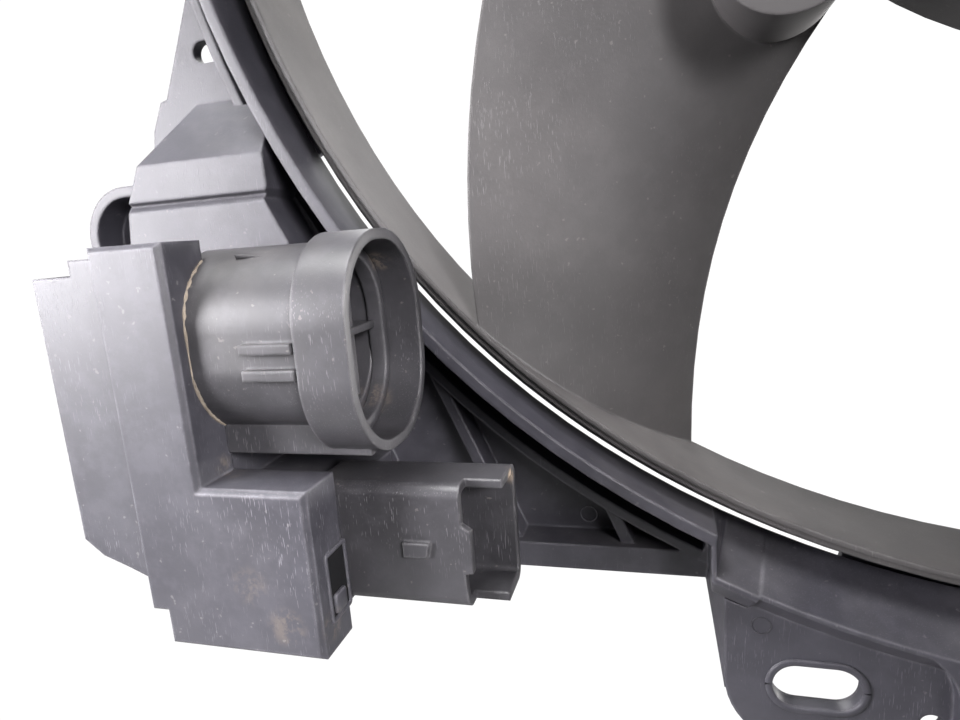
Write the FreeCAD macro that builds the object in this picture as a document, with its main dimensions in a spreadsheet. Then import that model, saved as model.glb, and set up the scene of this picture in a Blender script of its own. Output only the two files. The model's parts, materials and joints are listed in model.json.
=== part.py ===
import FreeCAD, Part
import math
import os
import Sketcher
from FreeCAD import Vector

# Radiator fan shroud with its ringed fan, motor and plug-in control module.
# Frame: fan axis along Y, +Z up, +X to the right seen from the front (the side the module is on).
# Origin: on the fan axis, in the front face of the fixing lugs.

DIMENSIONS = [
    # fan ring and the running gap round it
    ("ring_rad", 195.5), ("ring_wall", 3.2), ("ring_front", 2.0), ("ring_depth", 24.5), ("ring_step", 1.1),
    ("ring_rib", 2.7), ("ring_rib_y", 7.4), ("tip_gap", 4.3),
    # moulded duct: inner lip, gutter, outer wall
    ("lip_front", -4.0), ("lip_wall", 2.7), ("duct_depth", 16.2), ("duct_draft", 0.4),
    ("gutter_wide", 7.9), ("outer_wall", 2.4), ("rim_front", 9.5), ("frame_rear", 21.5), ("skin", 2.5),
    # flared inlet between the fixing lugs, top and bottom
    ("flare_half_angle", 23.2), ("flare_blend", 2.2), ("flare_rise", 8.5), ("flare_land", 0.9),
    ("flare_foot", 4.0), ("root_plate", 2.5), ("root_front", 28.6),
    # fixing lugs
    ("lug_thick", 3.3), ("lug_half_span", 87.6), ("lug_reach", 234.5), ("lug_corner", 15.5),
    ("slot_x", 68.7), ("slot_z", 219.0), ("slot_long", 18.0), ("slot_wide", 10.2),
    ("bridge_half", 43.0), ("bridge_corner", 14.0), ("pin_hole", 4.6), ("pin_hole_x", 46.6), ("pin_hole_z", 224.8),
    # lower beam and corner deck under the module
    ("beam_top", 193.3), ("beam_wide", 6.4), ("deck_left", 229.0), ("deck_chamfer", 24.0),
    ("deck_low", 176.0), ("rib_thick", 2.2), ("rib_front", 12.0),
    # module platform and web
    ("web_front", 11.5), ("web_thick", 3.0), ("pad_front", -4.0), ("pad_right", 185.6),
    ("pad_top", 94.5), ("pad_left", 224.6), ("pad_low", 176.0), ("ramp_top", 79.0),
    ("groove_z", 103.6), ("groove_wide", 2.6),
    ("ear_reach", 244.0), ("ear_z", 111.0), ("ear_rad", 13.0), ("ear_front", 2.0), ("ear_hole", 6.4), ("ear_rim", 2.6),
    # arms and motor carrier
    ("arm_count", 4), ("arm_wide", 14.0), ("arm_web", 3.6), ("arm_front", 31.0), ("arm_rear", 42.0),
    ("carrier_rad", 67.0), ("carrier_plate", 3.5), ("carrier_bolt_rad", 60.0), ("carrier_bolts", 3),
    # fan
    ("blade_count", 6), ("blade_edge", 1.6), ("blade_belly", 1.1),
    ("hub_rad", 92.0), ("hub_front", -6.0), ("hub_rear", 27.0), ("hub_wall", 2.8), ("hub_dish", 5.0),
    ("boss_rad", 13.0), ("boss_pitch_rad", 103.0), ("boss_front", -3.0), ("boss_back", 17.5),
    ("boss_angle", 222.3),
    # motor
    ("case_rad", 50.0), ("case_wall", 2.0), ("case_front", 8.0), ("case_rear", 63.0), ("case_fit", 0.6),
    ("flange_thick", 2.0), ("screw_rad", 2.5), ("screw_head", 4.6),
    ("shaft_rad", 4.0), ("shaft_fit", 0.03), ("bush_rad", 8.0), ("bush_long", 8.0),
    ("core_rad", 33.0), ("core_long", 20.0), ("coil_head", 5.0), ("air_gap", 0.8), ("magnet_thick", 7.0),
    ("commutator_rad", 12.5), ("commutator_long", 7.5), ("brush_gap", 0.35),
    # control module
    ("mod_front", -44.0), ("mod_cover", 11.0), ("mod_right", 182.9), ("mod_left", 199.0), ("mod_top", 113.5),
    ("mod_step", 159.0), ("mod_block", 160.8), ("mod_low", 192.4), ("mod_notch_z", 185.3), ("mod_notch_x", 195.4),
    ("mod_wall", 2.0), ("base_left", 225.0), ("base_top", 118.7), ("base_low", 184.8), ("base_cut", 4.5),
    ("socket_x", 160.8), ("plug_face", 149.8), ("plug_collar", 10.2), ("plug_wall", 2.0),
    ("plug_y", -24.7), ("plug_z", 134.9), ("plug_half_y", 17.7), ("plug_half_z", 21.1), ("collar_step", 1.7),
    ("sig_face", 129.2), ("sig_near", 136.6), ("sig_front", -31.0), ("sig_rear", -15.7),
    ("sig_top", 162.3), ("sig_low", 187.5), ("sig_wall", 1.7),
    ("board_thick", 1.6), ("pin_half", 0.6), ("blade_half", 4.6),
]

# Blade stations, hub to ring: radius, leading and trailing edge angle about the fan axis
# (from +X towards +Z), leading and trailing edge Y, camber.
STATIONS = [
    (88.0, 180.5, 229.3, 6.0, 21.5, 5.0), (120.0, 194.0, 230.9, 5.6, 22.8, 5.0),
    (152.0, 207.7, 234.8, 5.0, 24.2, 4.2), (202.0, 226.6, 242.5, 2.7, 26.4, 2.2),
]
STATION_COUNT = len(STATIONS)
STATION_NAMES = ("stn_rad", "stn_lead", "stn_trail", "stn_front", "stn_back", "stn_camber")
for number, station in enumerate(STATIONS):
    DIMENSIONS += [("%s_%d" % (name, number), value) for name, value in zip(STATION_NAMES, station)]

doc = FreeCAD.newDocument("FanShroud")
sheet = doc.addObject("Spreadsheet::Sheet", "Dims")
for row, (alias, value) in enumerate(DIMENSIONS, start=1):
    sheet.set("A%d" % row, alias)
    sheet.set("B%d" % row, str(value))
    sheet.setAlias("B%d" % row, alias)
doc.recompute()


def size(alias):
    """Value of one driving dimension."""
    return float(sheet.get(alias))


def link(text):
    """Turns driving-dimension names in a formula into sheet references."""
    out, word = "", ""
    for ch in str(text) + " ":
        if ch.isalnum() or ch == "_":
            word += ch
        else:
            out += ("Dims." + word if word in NAMES else word) + ch
            word = ""
    return out.strip()


NAMES = {alias for alias, value in DIMENSIONS}


def bind(obj, **formulas):
    for prop, formula in formulas.items():
        obj.setExpression(prop.replace("__", "."), link(formula))
    return obj


def place(obj, x="0", y="0", z="0"):
    return bind(obj, Placement__Base__x=x, Placement__Base__y=y, Placement__Base__z=z)


def turn(obj, angle):
    """Turns an object about the fan axis (Y)."""
    obj.Placement = FreeCAD.Placement(Vector(0, 0, 0), FreeCAD.Rotation(Vector(0, 1, 0), 1))
    return bind(obj, Placement__Rotation__Angle=angle)


def spun(name, item, angle):
    """Copy of an item turned about the fan axis."""
    group = doc.addObject("Part::Compound", name)
    group.Links = [item]
    return turn(group, angle)


def box(name, x, y, z):
    """Box between two formulas along each axis."""
    obj = doc.addObject("Part::Box", name)
    bind(obj, Length="(%s) - (%s)" % (x[1], x[0]), Width="(%s) - (%s)" % (y[1], y[0]),
         Height="(%s) - (%s)" % (z[1], z[0]))
    return place(obj, x[0], y[0], z[0])


def rod(name, radius, y, x="0", z="0"):
    """Cylinder along Y between two formulas."""
    obj = doc.addObject("Part::Cylinder", name)
    obj.Placement = FreeCAD.Placement(Vector(0, 0, 0), FreeCAD.Rotation(Vector(1, 0, 0), -90))
    bind(obj, Radius=radius, Height="(%s) - (%s)" % (y[1], y[0]))
    return place(obj, x, y[0], z)


def hexagon(name, radius, y, x="0", z="0"):
    """Hexagonal bar along Y, sized to its corners."""
    obj = doc.addObject("Part::Prism", name)
    obj.Polygon = 6
    obj.Placement = FreeCAD.Placement(Vector(0, 0, 0), FreeCAD.Rotation(Vector(1, 0, 0), -90))
    bind(obj, Circumradius=radius, Height="(%s) - (%s)" % (y[1], y[0]))
    return place(obj, x, y[0], z)


def cut(name, base, tool):
    obj = doc.addObject("Part::Cut", name)
    obj.Base, obj.Tool = base, tool
    return obj


def join(name, parts):
    obj = doc.addObject("Part::MultiFuse", name)
    obj.Shapes = parts
    obj.Refine = True
    return obj


def common(name, base, tool):
    obj = doc.addObject("Part::Common", name)
    obj.Base, obj.Tool = base, tool
    return obj


def outline(name, points, sketch=None):
    """Closed sketch of straight lines whose corners are held by formulas."""
    sketch = sketch or doc.addObject("Sketcher::SketchObject", name)
    places = [(sheet_value(u), sheet_value(v)) for u, v in points]
    for i, (u, v) in enumerate(places):
        nu, nv = places[(i + 1) % len(places)]
        sketch.addGeometry(Part.LineSegment(Vector(u, v, 0), Vector(nu, nv, 0)), False)
    count = len(points)
    for i in range(count):
        sketch.addConstraint(Sketcher.Constraint("Coincident", i, 2, (i + 1) % count, 1))
    for i, (u, v) in enumerate(points):
        for kind, formula, value in (("DistanceX", u, places[i][0]), ("DistanceY", v, places[i][1])):
            index = sketch.addConstraint(Sketcher.Constraint(kind, -1, 1, i, 1, value))
            sketch.setExpression("Constraints[%d]" % index, link(formula))
    return sketch


def sheet_value(formula):
    """Present value of a formula, for a sketch's first layout."""
    text = link(formula)
    for alias in sorted(NAMES, key=len, reverse=True):
        text = text.replace("Dims." + alias, "(%r)" % size(alias))
    for trig in ("sin(", "cos("):
        text = text.replace(trig, trig + "%r * " % math.radians(1))
    return float(FreeCAD.Units.parseQuantity(text).Value)


def revolve(name, points, angle="360", start="0"):
    """Solid turned about the fan axis from a closed outline of (radius, y) corners."""
    obj = doc.addObject("Part::Revolution", name)
    obj.Source = outline(name + "_profile", points)
    obj.Axis, obj.Base, obj.Solid = Vector(0, 1, 0), Vector(0, 0, 0), True
    bind(obj, Angle=angle)
    return turn(obj, start)


def prism(name, points, y):
    """Solid between two formulas along Y from a closed outline of (x, z) corners."""
    sketch = outline(name + "_outline", points)
    sketch.Placement = FreeCAD.Placement(Vector(0, 0, 0), FreeCAD.Rotation(Vector(1, 0, 0), 90))
    obj = doc.addObject("Part::Extrusion", name)
    obj.Base, obj.Dir, obj.DirMode, obj.Solid = sketch, Vector(0, 1, 0), "Custom", True
    bind(obj, LengthFwd="(%s) - (%s)" % (y[1], y[0]))
    return place(obj, "0", y[0], "0")


def side_prism(name, points, x):
    """Solid between two formulas along X from a closed outline of (y, z) corners."""
    sketch = outline(name + "_outline", points)
    sketch.Placement = FreeCAD.Placement(Vector(0, 0, 0), FreeCAD.Rotation(Vector(1, 1, 1), 120))
    obj = doc.addObject("Part::Extrusion", name)
    obj.Base, obj.Dir, obj.DirMode, obj.Solid = sketch, Vector(1, 0, 0), "Custom", True
    bind(obj, LengthFwd="(%s) - (%s)" % (x[1], x[0]))
    return place(obj, x[0], "0", "0")


def rounded(name, base, radius, picks, kind="Part::Fillet"):
    """Fillet or chamfer on the edges a test picks from the base's present shape."""
    doc.recompute()
    obj = doc.addObject(kind, name)
    obj.Base = base
    obj.Edges = [(i, radius, radius) for i, edge in enumerate(base.Shape.Edges, start=1) if picks(edge)]
    return obj


def along(edge, axis):
    """True for a straight edge parallel to a unit axis."""
    if not isinstance(edge.Curve, Part.Line):
        return False
    return abs(abs(edge.Curve.Direction.dot(axis)) - 1) < 1e-6


X, Y, Z = Vector(1, 0, 0), Vector(0, 1, 0), Vector(0, 0, 1)
nodes = []


def node(label, obj):
    obj.Label = label
    nodes.append((label, obj))
    return obj


# ---------------------------------------------------------------- shroud moulding
DUCT = "ring_rad + ring_wall + tip_gap"                 # inner radius at the lip
THROAT = "ring_rad + ring_wall + tip_gap + duct_draft"  # inner radius at the rear of the duct wall
THROAT_Y = "lip_front + duct_depth"
WALL_IN = "ring_rad + ring_wall + tip_gap + lip_wall + gutter_wide"
WALL_OUT = "ring_rad + ring_wall + tip_gap + lip_wall + gutter_wide + outer_wall"

duct = revolve("duct", [
    (DUCT, "lip_front"), (DUCT + " + lip_wall", "lip_front"), (DUCT + " + lip_wall", THROAT_Y + " - 1.2"),
    (WALL_IN, "frame_rear - skin - 1.5"), (WALL_IN, "rim_front"), (WALL_OUT, "rim_front"),
    (WALL_OUT, "frame_rear"), (WALL_IN + " - 1", "frame_rear"), (THROAT, THROAT_Y)])

# Flared inlet sectors: the lip is cut back and the wall opens out to a rim between the lugs.
FLARE = THROAT + " + flare_rise - duct_draft"
cutters, adders = [], []
for tag, middle in (("low", 90), ("top", 270)):
    start = "%d - flare_half_angle" % middle
    cutters.append(revolve("flare_air_" + tag, [
        (DUCT + " - 4", "lip_front - 3"), (FLARE, "lip_front - 3"), (FLARE, "lip_front"),
        (THROAT, THROAT_Y), (DUCT + " - 4", THROAT_Y)], "2 * flare_half_angle", start))
    adders.append(revolve("flare_wall_" + tag, [
        (THROAT, THROAT_Y), (FLARE, "lip_front"), (FLARE + " + flare_land", "lip_front"),
        (FLARE + " + flare_land + flare_foot", "0"), (FLARE + " + flare_land + flare_foot", "lug_thick"),
        (FLARE + " + 1.5", "lug_thick"), (THROAT + " + 3", THROAT_Y + " + 1.5")],
        "2 * flare_half_angle", start))


def radial_outline(name, points, angle):
    """Closed outline of (radius, y) corners standing in a plane turned about the fan axis."""
    return turn(outline(name, points), angle)


def mirrored(name, item, normal):
    obj = doc.addObject("Part::Mirroring", name)
    obj.Source, obj.Normal = item, normal
    return obj


# The lip runs out into the flare through a short blend, and a tapered gusset ties the foot's
# side to the duct's outer wall. One end is modelled and mirrored to the other three.
blend = doc.addObject("Part::Loft", "flare_blend")
blend.Sections = [
    radial_outline("blend_lip_end", [
        (THROAT, THROAT_Y), (DUCT, "lip_front"), (DUCT + " + lip_wall", "lip_front"),
        (WALL_IN, "rim_front - 4.5"), (WALL_OUT, "rim_front"), (WALL_OUT, "frame_rear - 5"),
        (THROAT + " + 2", THROAT_Y + " + 2")], "90 + flare_half_angle + flare_blend"),
    radial_outline("blend_flare_end", [
        (THROAT, THROAT_Y), (FLARE, "lip_front"), (FLARE + " + flare_land", "lip_front"),
        (FLARE + " + flare_land + flare_foot", "0"), (FLARE + " + flare_land + flare_foot", "lug_thick"),
        (FLARE + " + 1.5", "lug_thick + 3"), (THROAT + " + 2", THROAT_Y + " + 2")],
        "90 + flare_half_angle - 0.4")]
blend.Solid, blend.Ruled = True, True


def foot_gusset_outline(name, corners, y):
    sketch = outline(name, corners)
    sketch.Placement = FreeCAD.Placement(Vector(0, 0, 0), FreeCAD.Rotation(Vector(1, 0, 0), 90))
    return bind(sketch, Placement__Base__y=y)


gusset = doc.addObject("Part::Loft", "foot_gusset")
gusset.Sections = [
    foot_gusset_outline("gusset_front", [
        ("-lug_half_span", "-192"), ("-lug_half_span + 2.4", "-192"), ("-lug_half_span + 2.4", "-222"),
        ("-lug_half_span", "-222")], "1"),
    foot_gusset_outline("gusset_rear", [
        ("-lug_half_span - 3.4", "-192"), ("-lug_half_span - 1", "-192"), ("-lug_half_span - 1", "-200"),
        ("-lug_half_span - 3.4", "-200")], "rim_front + 1")]
gusset.Solid, gusset.Ruled = True, True
gusset_foot = box("gusset_foot", ("-lug_half_span - 3.4", "-lug_half_span + 2"), ("rim_front", "frame_rear"),
                  ("-beam_top - beam_wide - 0.4", "-beam_top + 4"))
corner_end = join("flare_end", [blend, gusset, gusset_foot])
flare_ends = [corner_end, mirrored("flare_end_right", corner_end, X), mirrored("flare_end_top", corner_end, Z)]
flare_ends.append(mirrored("flare_end_top_right", flare_ends[2], X))

# Plates across the running gap where the arms spread into the duct.
roots = []
for k, half in enumerate(("26", "16", "26", "16")):
    roots.append(revolve("arm_root_%d" % k, [
        ("ring_rad + 2", "root_front"), (WALL_IN, "root_front"), (WALL_IN, "frame_rear - 2"),
        (WALL_OUT, "frame_rear - 2"), (WALL_OUT, "root_front + root_plate"),
        ("ring_rad + 2", "root_front + root_plate")], "2 * " + half, "%d - %s" % (90 * k, half)))

# Fixing feet, bottom and top: a plate with two slotted lugs and a raised bridge between them.
feet, feet_cuts = [], []
for tag, side in (("low", "-1"), ("top", "1")):
    edge_z = "%s * lug_reach" % side
    span = sorted([edge_z, side + " * (%s - 24)" % DUCT], key=sheet_value)
    plate = box("foot_" + tag, ("-lug_half_span", "lug_half_span"), ("0", "lug_thick"), span)
    plate = rounded("foot_round_" + tag, plate, size("lug_corner"),
                    lambda e, s=sheet_value(edge_z): along(e, Y) and abs(e.CenterOfMass.z - s) < 0.01)
    bridge = box("bridge_" + tag, ("-bridge_half", "bridge_half"), ("lip_front", "lug_thick"), span)
    corners = []
    for hand, sign in (("l", "-1"), ("r", "1")):
        mid_x = "%s * (bridge_half + bridge_corner)" % sign
        mid_z = "%s * sqrt((%s + bridge_corner) ^ 2 - (bridge_half + bridge_corner) ^ 2)" % (side, FLARE)
        xs = sorted([mid_x, sign + " * (bridge_half - 1)"], key=sheet_value)
        zs = sorted([mid_z, side + " * (%s - 20)" % DUCT], key=sheet_value)
        block = box("corner_%s_%s" % (tag, hand), xs, ("lip_front", "lug_thick"), zs)
        round_off = rod("corner_air_%s_%s" % (tag, hand), "bridge_corner",
                        ("lip_front - 1", "0"), mid_x, mid_z)
        corners.append(cut("corner_fill_%s_%s" % (tag, hand), block, round_off))
        slot_x = "%s * slot_x" % sign
        slot = box("slot_mid_%s_%s" % (tag, hand),
                   (slot_x + " - (slot_long - slot_wide) / 2", slot_x + " + (slot_long - slot_wide) / 2"),
                   ("-1", "lug_thick + 1"),
                   (side + " * slot_z - slot_wide / 2", side + " * slot_z + slot_wide / 2"))
        ends = [rod("slot_end_%s_%s_%d" % (tag, hand, k), "slot_wide / 2", ("-1", "lug_thick + 1"),
                    "%s + %d * (slot_long - slot_wide) / 2" % (slot_x, k), side + " * slot_z")
                for k in (-1, 1)]
        pin = rod("pin_hole_%s_%s" % (tag, hand), "pin_hole / 2", ("-1", "lug_thick + 1"),
                  "%s * pin_hole_x" % sign, side + " * pin_hole_z")
        feet_cuts += [slot, pin] + ends
    feet += [plate, bridge] + corners
feet_all = join("feet_solid", feet)
feet_open = cut("feet_open", feet_all, join("feet_holes", feet_cuts))
feet_ring = cut("feet", feet_open, revolve("feet_air", [
    ("1", "lip_front - 2"), (FLARE, "lip_front - 2"), (FLARE + " + flare_land", "lip_front"),
    (FLARE + " + flare_land + 1", "lug_thick + 2"), ("1", "lug_thick + 2")]))

# Lower-left corner: deck plate, beam along the bottom, ribs and the module platform.
corner = prism("deck_plate", [
    ("-(%s) * 0.93" % WALL_OUT, "-pad_top + 14"), ("-pad_left", "-pad_top"), ("-deck_left", "-pad_top - 18"),
    ("-deck_left", "-deck_low"), ("-deck_left + deck_chamfer", "-(beam_top + beam_wide)"),
    ("-lug_half_span - 0.5", "-(beam_top + beam_wide)"), ("-lug_half_span - 0.5", "-beam_top + 12"),
    ("-140", "-140")], ("frame_rear - skin", "frame_rear"))
beam = box("beam", ("-deck_left + deck_chamfer", "-lug_half_span + 1.5"), ("rim_front", "frame_rear"),
           ("-(beam_top + beam_wide)", "-beam_top"))
beam_core = box("beam_core", ("-deck_left + deck_chamfer + 3", "-lug_half_span - 4"),
                ("rim_front + 2.4", "frame_rear + 1"), ("-(beam_top + beam_wide) + 1.8", "-beam_top - 1.8"))
beam_shell = cut("beam_shell", beam, beam_core)
ribs = []
for k, (x_low, x_high) in enumerate(((110, 138), (138, 166), (166, 194))):
    ribs.append(prism("deck_rib_%d" % k, [
        ("-%d" % x_high, "-128"), ("-%d + rib_thick * 1.4" % x_high, "-128"),
        ("-%d + rib_thick * 1.4" % x_low, "-beam_top - 1"), ("-%d" % x_low, "-beam_top - 1")],
        ("rib_front", "frame_rear")))
web = prism("web", [
    ("-(%s) * 0.96" % WALL_OUT, "-44"), ("-211.0", "-54.0"), ("-221.2", "-76.7"), ("-223.2", "-77.2"),
    ("-pad_left - 2", "-ramp_top - 5"), ("-pad_left - 6", "-pad_top - 10"), ("-deck_left", "-deck_low"),
    ("-180", "-deck_low"), ("-176", "-100")],
    ("web_front", "web_front + web_thick"))
pad = prism("pad_block", [
    ("-212.5", "-ramp_top"), ("-pad_left", "-groove_z"), ("-pad_left - 2", "-base_top"),
    ("-pad_left - 2", "-pad_low"), ("-mod_right + 5", "-pad_low"), ("-mod_right + 1", "-mod_top - 1.4"),
    ("-pad_right - 1.4", "-groove_z - 1"), ("-pad_right", "-groove_z + 1.2"), ("-pad_right", "-pad_top"),
    ("-pad_right - 4", "-ramp_top")],
    ("pad_front", "web_front + 1"))
ramp = side_prism("ramp_air", [
    ("pad_front - 1", "-pad_top"), ("pad_front - 1", "-ramp_top + 2"), ("web_front", "-ramp_top + 2"),
    ("web_front", "-ramp_top"), ("pad_front", "-pad_top")], ("-pad_left - 20", "-pad_right + 20"))
groove = side_prism("groove_air", [
    ("pad_front - 1", "-groove_z + groove_wide / 2"), ("pad_front - 1", "-groove_z - groove_wide / 2 - 0.4"),
    ("pad_front", "-groove_z - groove_wide / 2 - 0.4"), ("pad_front + 1.1", "-groove_z")],
    ("-pad_left - 20", "-pad_right + 20"))
pad_hollow = box("pad_hollow", ("-pad_left + 3", "-pad_right - 3"), ("pad_front + 3", "web_front + 2"),
                 ("-pad_low + 3", "-groove_z - 4"))
pad_solid = cut("pad", pad, join("pad_cuts", [ramp, groove, pad_hollow]))
ear_disc = rod("ear_disc", "ear_rad", ("ear_front", "web_front + web_thick"), "-ear_reach + ear_rad", "-ear_z")
ear_link = box("ear_link", ("-ear_reach + ear_rad", "-pad_left + 3"), ("ear_front", "web_front + web_thick"),
               ("-ear_z - ear_rad", "-ear_z + ear_rad"))
ear_body = join("ear_body", [ear_disc, ear_link])
ear_pocket = rod("ear_pocket", "ear_rad - ear_rim", ("ear_front - 1", "web_front - 1"),
                 "-ear_reach + ear_rad", "-ear_z")
ear_bay = box("ear_bay", ("-ear_reach + ear_rad", "-pad_left - 1"), ("ear_front - 1", "web_front - 1"),
              ("-ear_z - ear_rad + ear_rim", "-ear_z + ear_rad - ear_rim"))
ear_hole = rod("ear_bolt_hole", "ear_hole / 2", ("ear_front - 1", "web_front + web_thick + 1"),
               "-ear_reach + ear_rad + 2", "-ear_z")
ear = cut("ear", ear_body, join("ear_cuts", [ear_pocket, ear_bay, ear_hole]))
web_hole_mid = box("web_hole_mid", ("-208.6", "-204.0"), ("web_front - 1", "web_front + web_thick + 1"),
                   ("-69.6", "-64.4"))
web_hole_ends = [rod("web_hole_end_%d" % k, "2.6", ("web_front - 1", "web_front + web_thick + 1"),
                     str(x), "-67.0") for k, x in enumerate((-208.6, -204.0))]
corner_all = join("corner_all", [corner, beam_shell, web, pad_solid, ear] + ribs)
corner_open = cut("corner_open", corner_all, join("corner_holes", [web_hole_mid] + web_hole_ends + [
    rod("corner_air", WALL_OUT + " - 0.6", ("rim_front", "frame_rear + 2")),
    rod("gutter_air", DUCT + " + lip_wall + 1.4", ("pad_front - 2", "rim_front + 1"))]))

# Arms behind the fan carry a ring plate for the motor.
arms = []
for k in range(int(size("arm_count"))):
    angle = "360 / arm_count * %d" % k
    reach = WALL_OUT + " - 0.8"
    flange = doc.addObject("Part::Box", "arm_flange_%d" % k)
    bind(flange, Length="(%s) - (carrier_rad - 4)" % reach, Width="3.2", Height="arm_wide")
    fin = doc.addObject("Part::Box", "arm_fin_%d" % k)
    bind(fin, Length="(%s) - (carrier_rad - 4)" % reach, Width="arm_rear - arm_front", Height="arm_web")
    riser = doc.addObject("Part::Box", "arm_riser_%d" % k)
    bind(riser, Length="(%s) - (%s + 1)" % (WALL_OUT, WALL_IN), Width="arm_rear - frame_rear + 6",
         Height="arm_wide + 8")
    place(flange, "carrier_rad - 4", "arm_rear - 3.2", "-arm_wide / 2")
    place(fin, "carrier_rad - 4", "arm_front", "-arm_web / 2")
    place(riser, WALL_IN + " + 1", "frame_rear - 6", "-(arm_wide + 8) / 2")
    arm = join("arm_straight_%d" % k, [flange, fin, riser])
    arms.append(spun("arm_%d" % k, arm, angle))
carrier = revolve("carrier", [
    ("case_rad + case_fit", "arm_rear - carrier_plate"), ("carrier_rad", "arm_rear - carrier_plate"),
    ("carrier_rad", "arm_rear"), ("case_rad + case_fit", "arm_rear")])
carrier_rim = revolve("carrier_rim", [
    ("carrier_rad - 2.5", "arm_front"), ("carrier_rad", "arm_front"), ("carrier_rad", "arm_rear"),
    ("carrier_rad - 2.5", "arm_rear")])
bolt_holes, bolt_bosses, screws = [], [], []
for k in range(int(size("carrier_bolts"))):
    at = "%d + 360 / carrier_bolts * %d" % (30, k)
    x_k, z_k = "carrier_bolt_rad * cos(%s)" % at, "carrier_bolt_rad * sin(%s)" % at
    bolt_bosses.append(rod("carrier_boss_%d" % k, "screw_rad + 3", ("arm_front", "arm_rear"), x_k, z_k))
    bolt_holes.append(rod("carrier_hole_%d" % k, "screw_rad", ("arm_front - 1", "arm_rear + 1"), x_k, z_k))
shroud_parts = [cut("duct_open", duct, join("flare_air", cutters))] + adders + flare_ends + roots + [
    feet_ring, corner_open, carrier, carrier_rim] + arms + bolt_bosses
shroud_solid = join("shroud_solid", shroud_parts)
shroud = cut("shroud", shroud_solid, join("carrier_holes", bolt_holes))
shroud.Refine = False
node("shroud_frame", shroud)

# ---------------------------------------------------------------- fan
# One body: hub blank, one lofted blade with its root boss, the pattern of them, the ring, the cup.
fan = doc.addObject("PartDesign::Body", "fan_body")


def origin_item(body, role):
    return [item for item in body.Origin.OriginFeatures if item.Role == role][0]


def body_sketch(body, name, role, along_normal="0"):
    sketch = body.newObject("Sketcher::SketchObject", name)
    sketch.AttachmentSupport = (origin_item(body, role), [""])
    sketch.MapMode = "FlatFace"
    return bind(sketch, AttachmentOffset__Base__z=along_normal)


def turned_feature(body, kind, name, points):
    """Revolution or Groove about the body's Y axis from (radius, y) corners."""
    sketch = outline(name + "_profile", points, body_sketch(body, name + "_profile", "XY_Plane"))
    feature = body.newObject("PartDesign::" + kind, name)
    feature.Profile = sketch
    feature.ReferenceAxis = (sketch, ["V_Axis"])
    feature.Angle = 360.0
    return feature


def round_pattern(body, name, originals, count):
    """Turns features about the fan axis."""
    pattern = body.newObject("PartDesign::PolarPattern", name)
    pattern.Originals = originals
    pattern.Axis = (origin_item(body, "Y_Axis"), [""])
    pattern.Angle = 360.0
    bind(pattern, Occurrences=count)
    body.Tip = pattern
    return pattern


hub_blank = turned_feature(fan, "Revolution", "hub_blank", [
    ("0", "hub_front + hub_dish"), ("hub_rad * 0.42", "hub_front + hub_dish"),
    ("hub_rad * 0.50", "hub_front"), ("hub_rad - 3.5", "hub_front"), ("hub_rad", "hub_front + 3.5"),
    ("hub_rad", "hub_rear"), ("0", "hub_rear")])


def blade_section(index):
    """Cambered section on a plane square to the blade, edges at the station's radius and angles."""
    rad, lead, trail = "stn_rad_%d" % index, "stn_lead_%d" % index, "stn_trail_%d" % index
    middle, half = "((%s + %s) / 2)" % (lead, trail), "((%s - %s) / 2)" % (trail, lead)
    bulge = "stn_camber_%d" % index
    sketch = body_sketch(fan, "blade_section_%d" % index, "XY_Plane")
    sketch.AttachmentOffset = FreeCAD.Placement(Vector(0, 0, 0), FreeCAD.Rotation(Vector(0, 1, 0), 1))
    bind(sketch, AttachmentOffset__Base__x="%s * cos(%s) * cos(%s)" % (rad, half, middle),
         AttachmentOffset__Base__z="%s * cos(%s) * sin(%s)" % (rad, half, middle),
         AttachmentOffset__Rotation__Angle="-90 - %s" % middle)
    reach = "%s * sin(%s)" % (rad, half)
    corners = [("-(%s)" % reach, "stn_front_%d - blade_edge / 2" % index),
               (reach, "stn_back_%d - blade_edge / 2" % index),
               (reach, "stn_back_%d + blade_edge / 2" % index),
               ("-(%s)" % reach, "stn_front_%d + blade_edge / 2" % index)]
    spots = [Vector(sheet_value(u), sheet_value(v), 0) for u, v in corners]
    belly = ["%s + blade_belly" % bulge, bulge]
    for i, (a, b) in enumerate(((0, 1), (1, 2), (2, 3), (3, 0))):
        if i in (0, 2):
            chord = spots[b] - spots[a]
            down = Vector(chord.y, -chord.x, 0).normalize() * (1 if i == 0 else -1)
            middle_spot = (spots[a] + spots[b]) * 0.5 + down * sheet_value(belly[i // 2])
            sketch.addGeometry(Part.Arc(spots[a], middle_spot, spots[b]), False)
        else:
            sketch.addGeometry(Part.LineSegment(spots[a], spots[b]), False)
    corner_at = {}
    for i in range(4):
        for end in (1, 2):
            point = sketch.getPoint(i, end)
            near = min(range(4), key=lambda c: (spots[c] - point).Length)
            if near in corner_at:
                sketch.addConstraint(Sketcher.Constraint("Coincident", i, end, *corner_at[near]))
            else:
                corner_at[near] = (i, end)
    for c, (u, v) in enumerate(corners):
        for kind, formula in (("DistanceX", u), ("DistanceY", v)):
            k = sketch.addConstraint(Sketcher.Constraint(kind, -1, 1, *corner_at[c], sheet_value(formula)))
            sketch.setExpression("Constraints[%d]" % k, link(formula))
    rise = "(stn_back_%d - stn_front_%d)" % (index, index)
    for i, lift in ((0, belly[0]), (2, belly[1])):
        radius = "((%s) ^ 2 + %s ^ 2 / 4 + (%s) ^ 2) / (2 * (%s))" % (reach, rise, lift, lift)
        k = sketch.addConstraint(Sketcher.Constraint("Radius", i, sheet_value(radius)))
        sketch.setExpression("Constraints[%d]" % k, link(radius))
    return sketch


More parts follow.
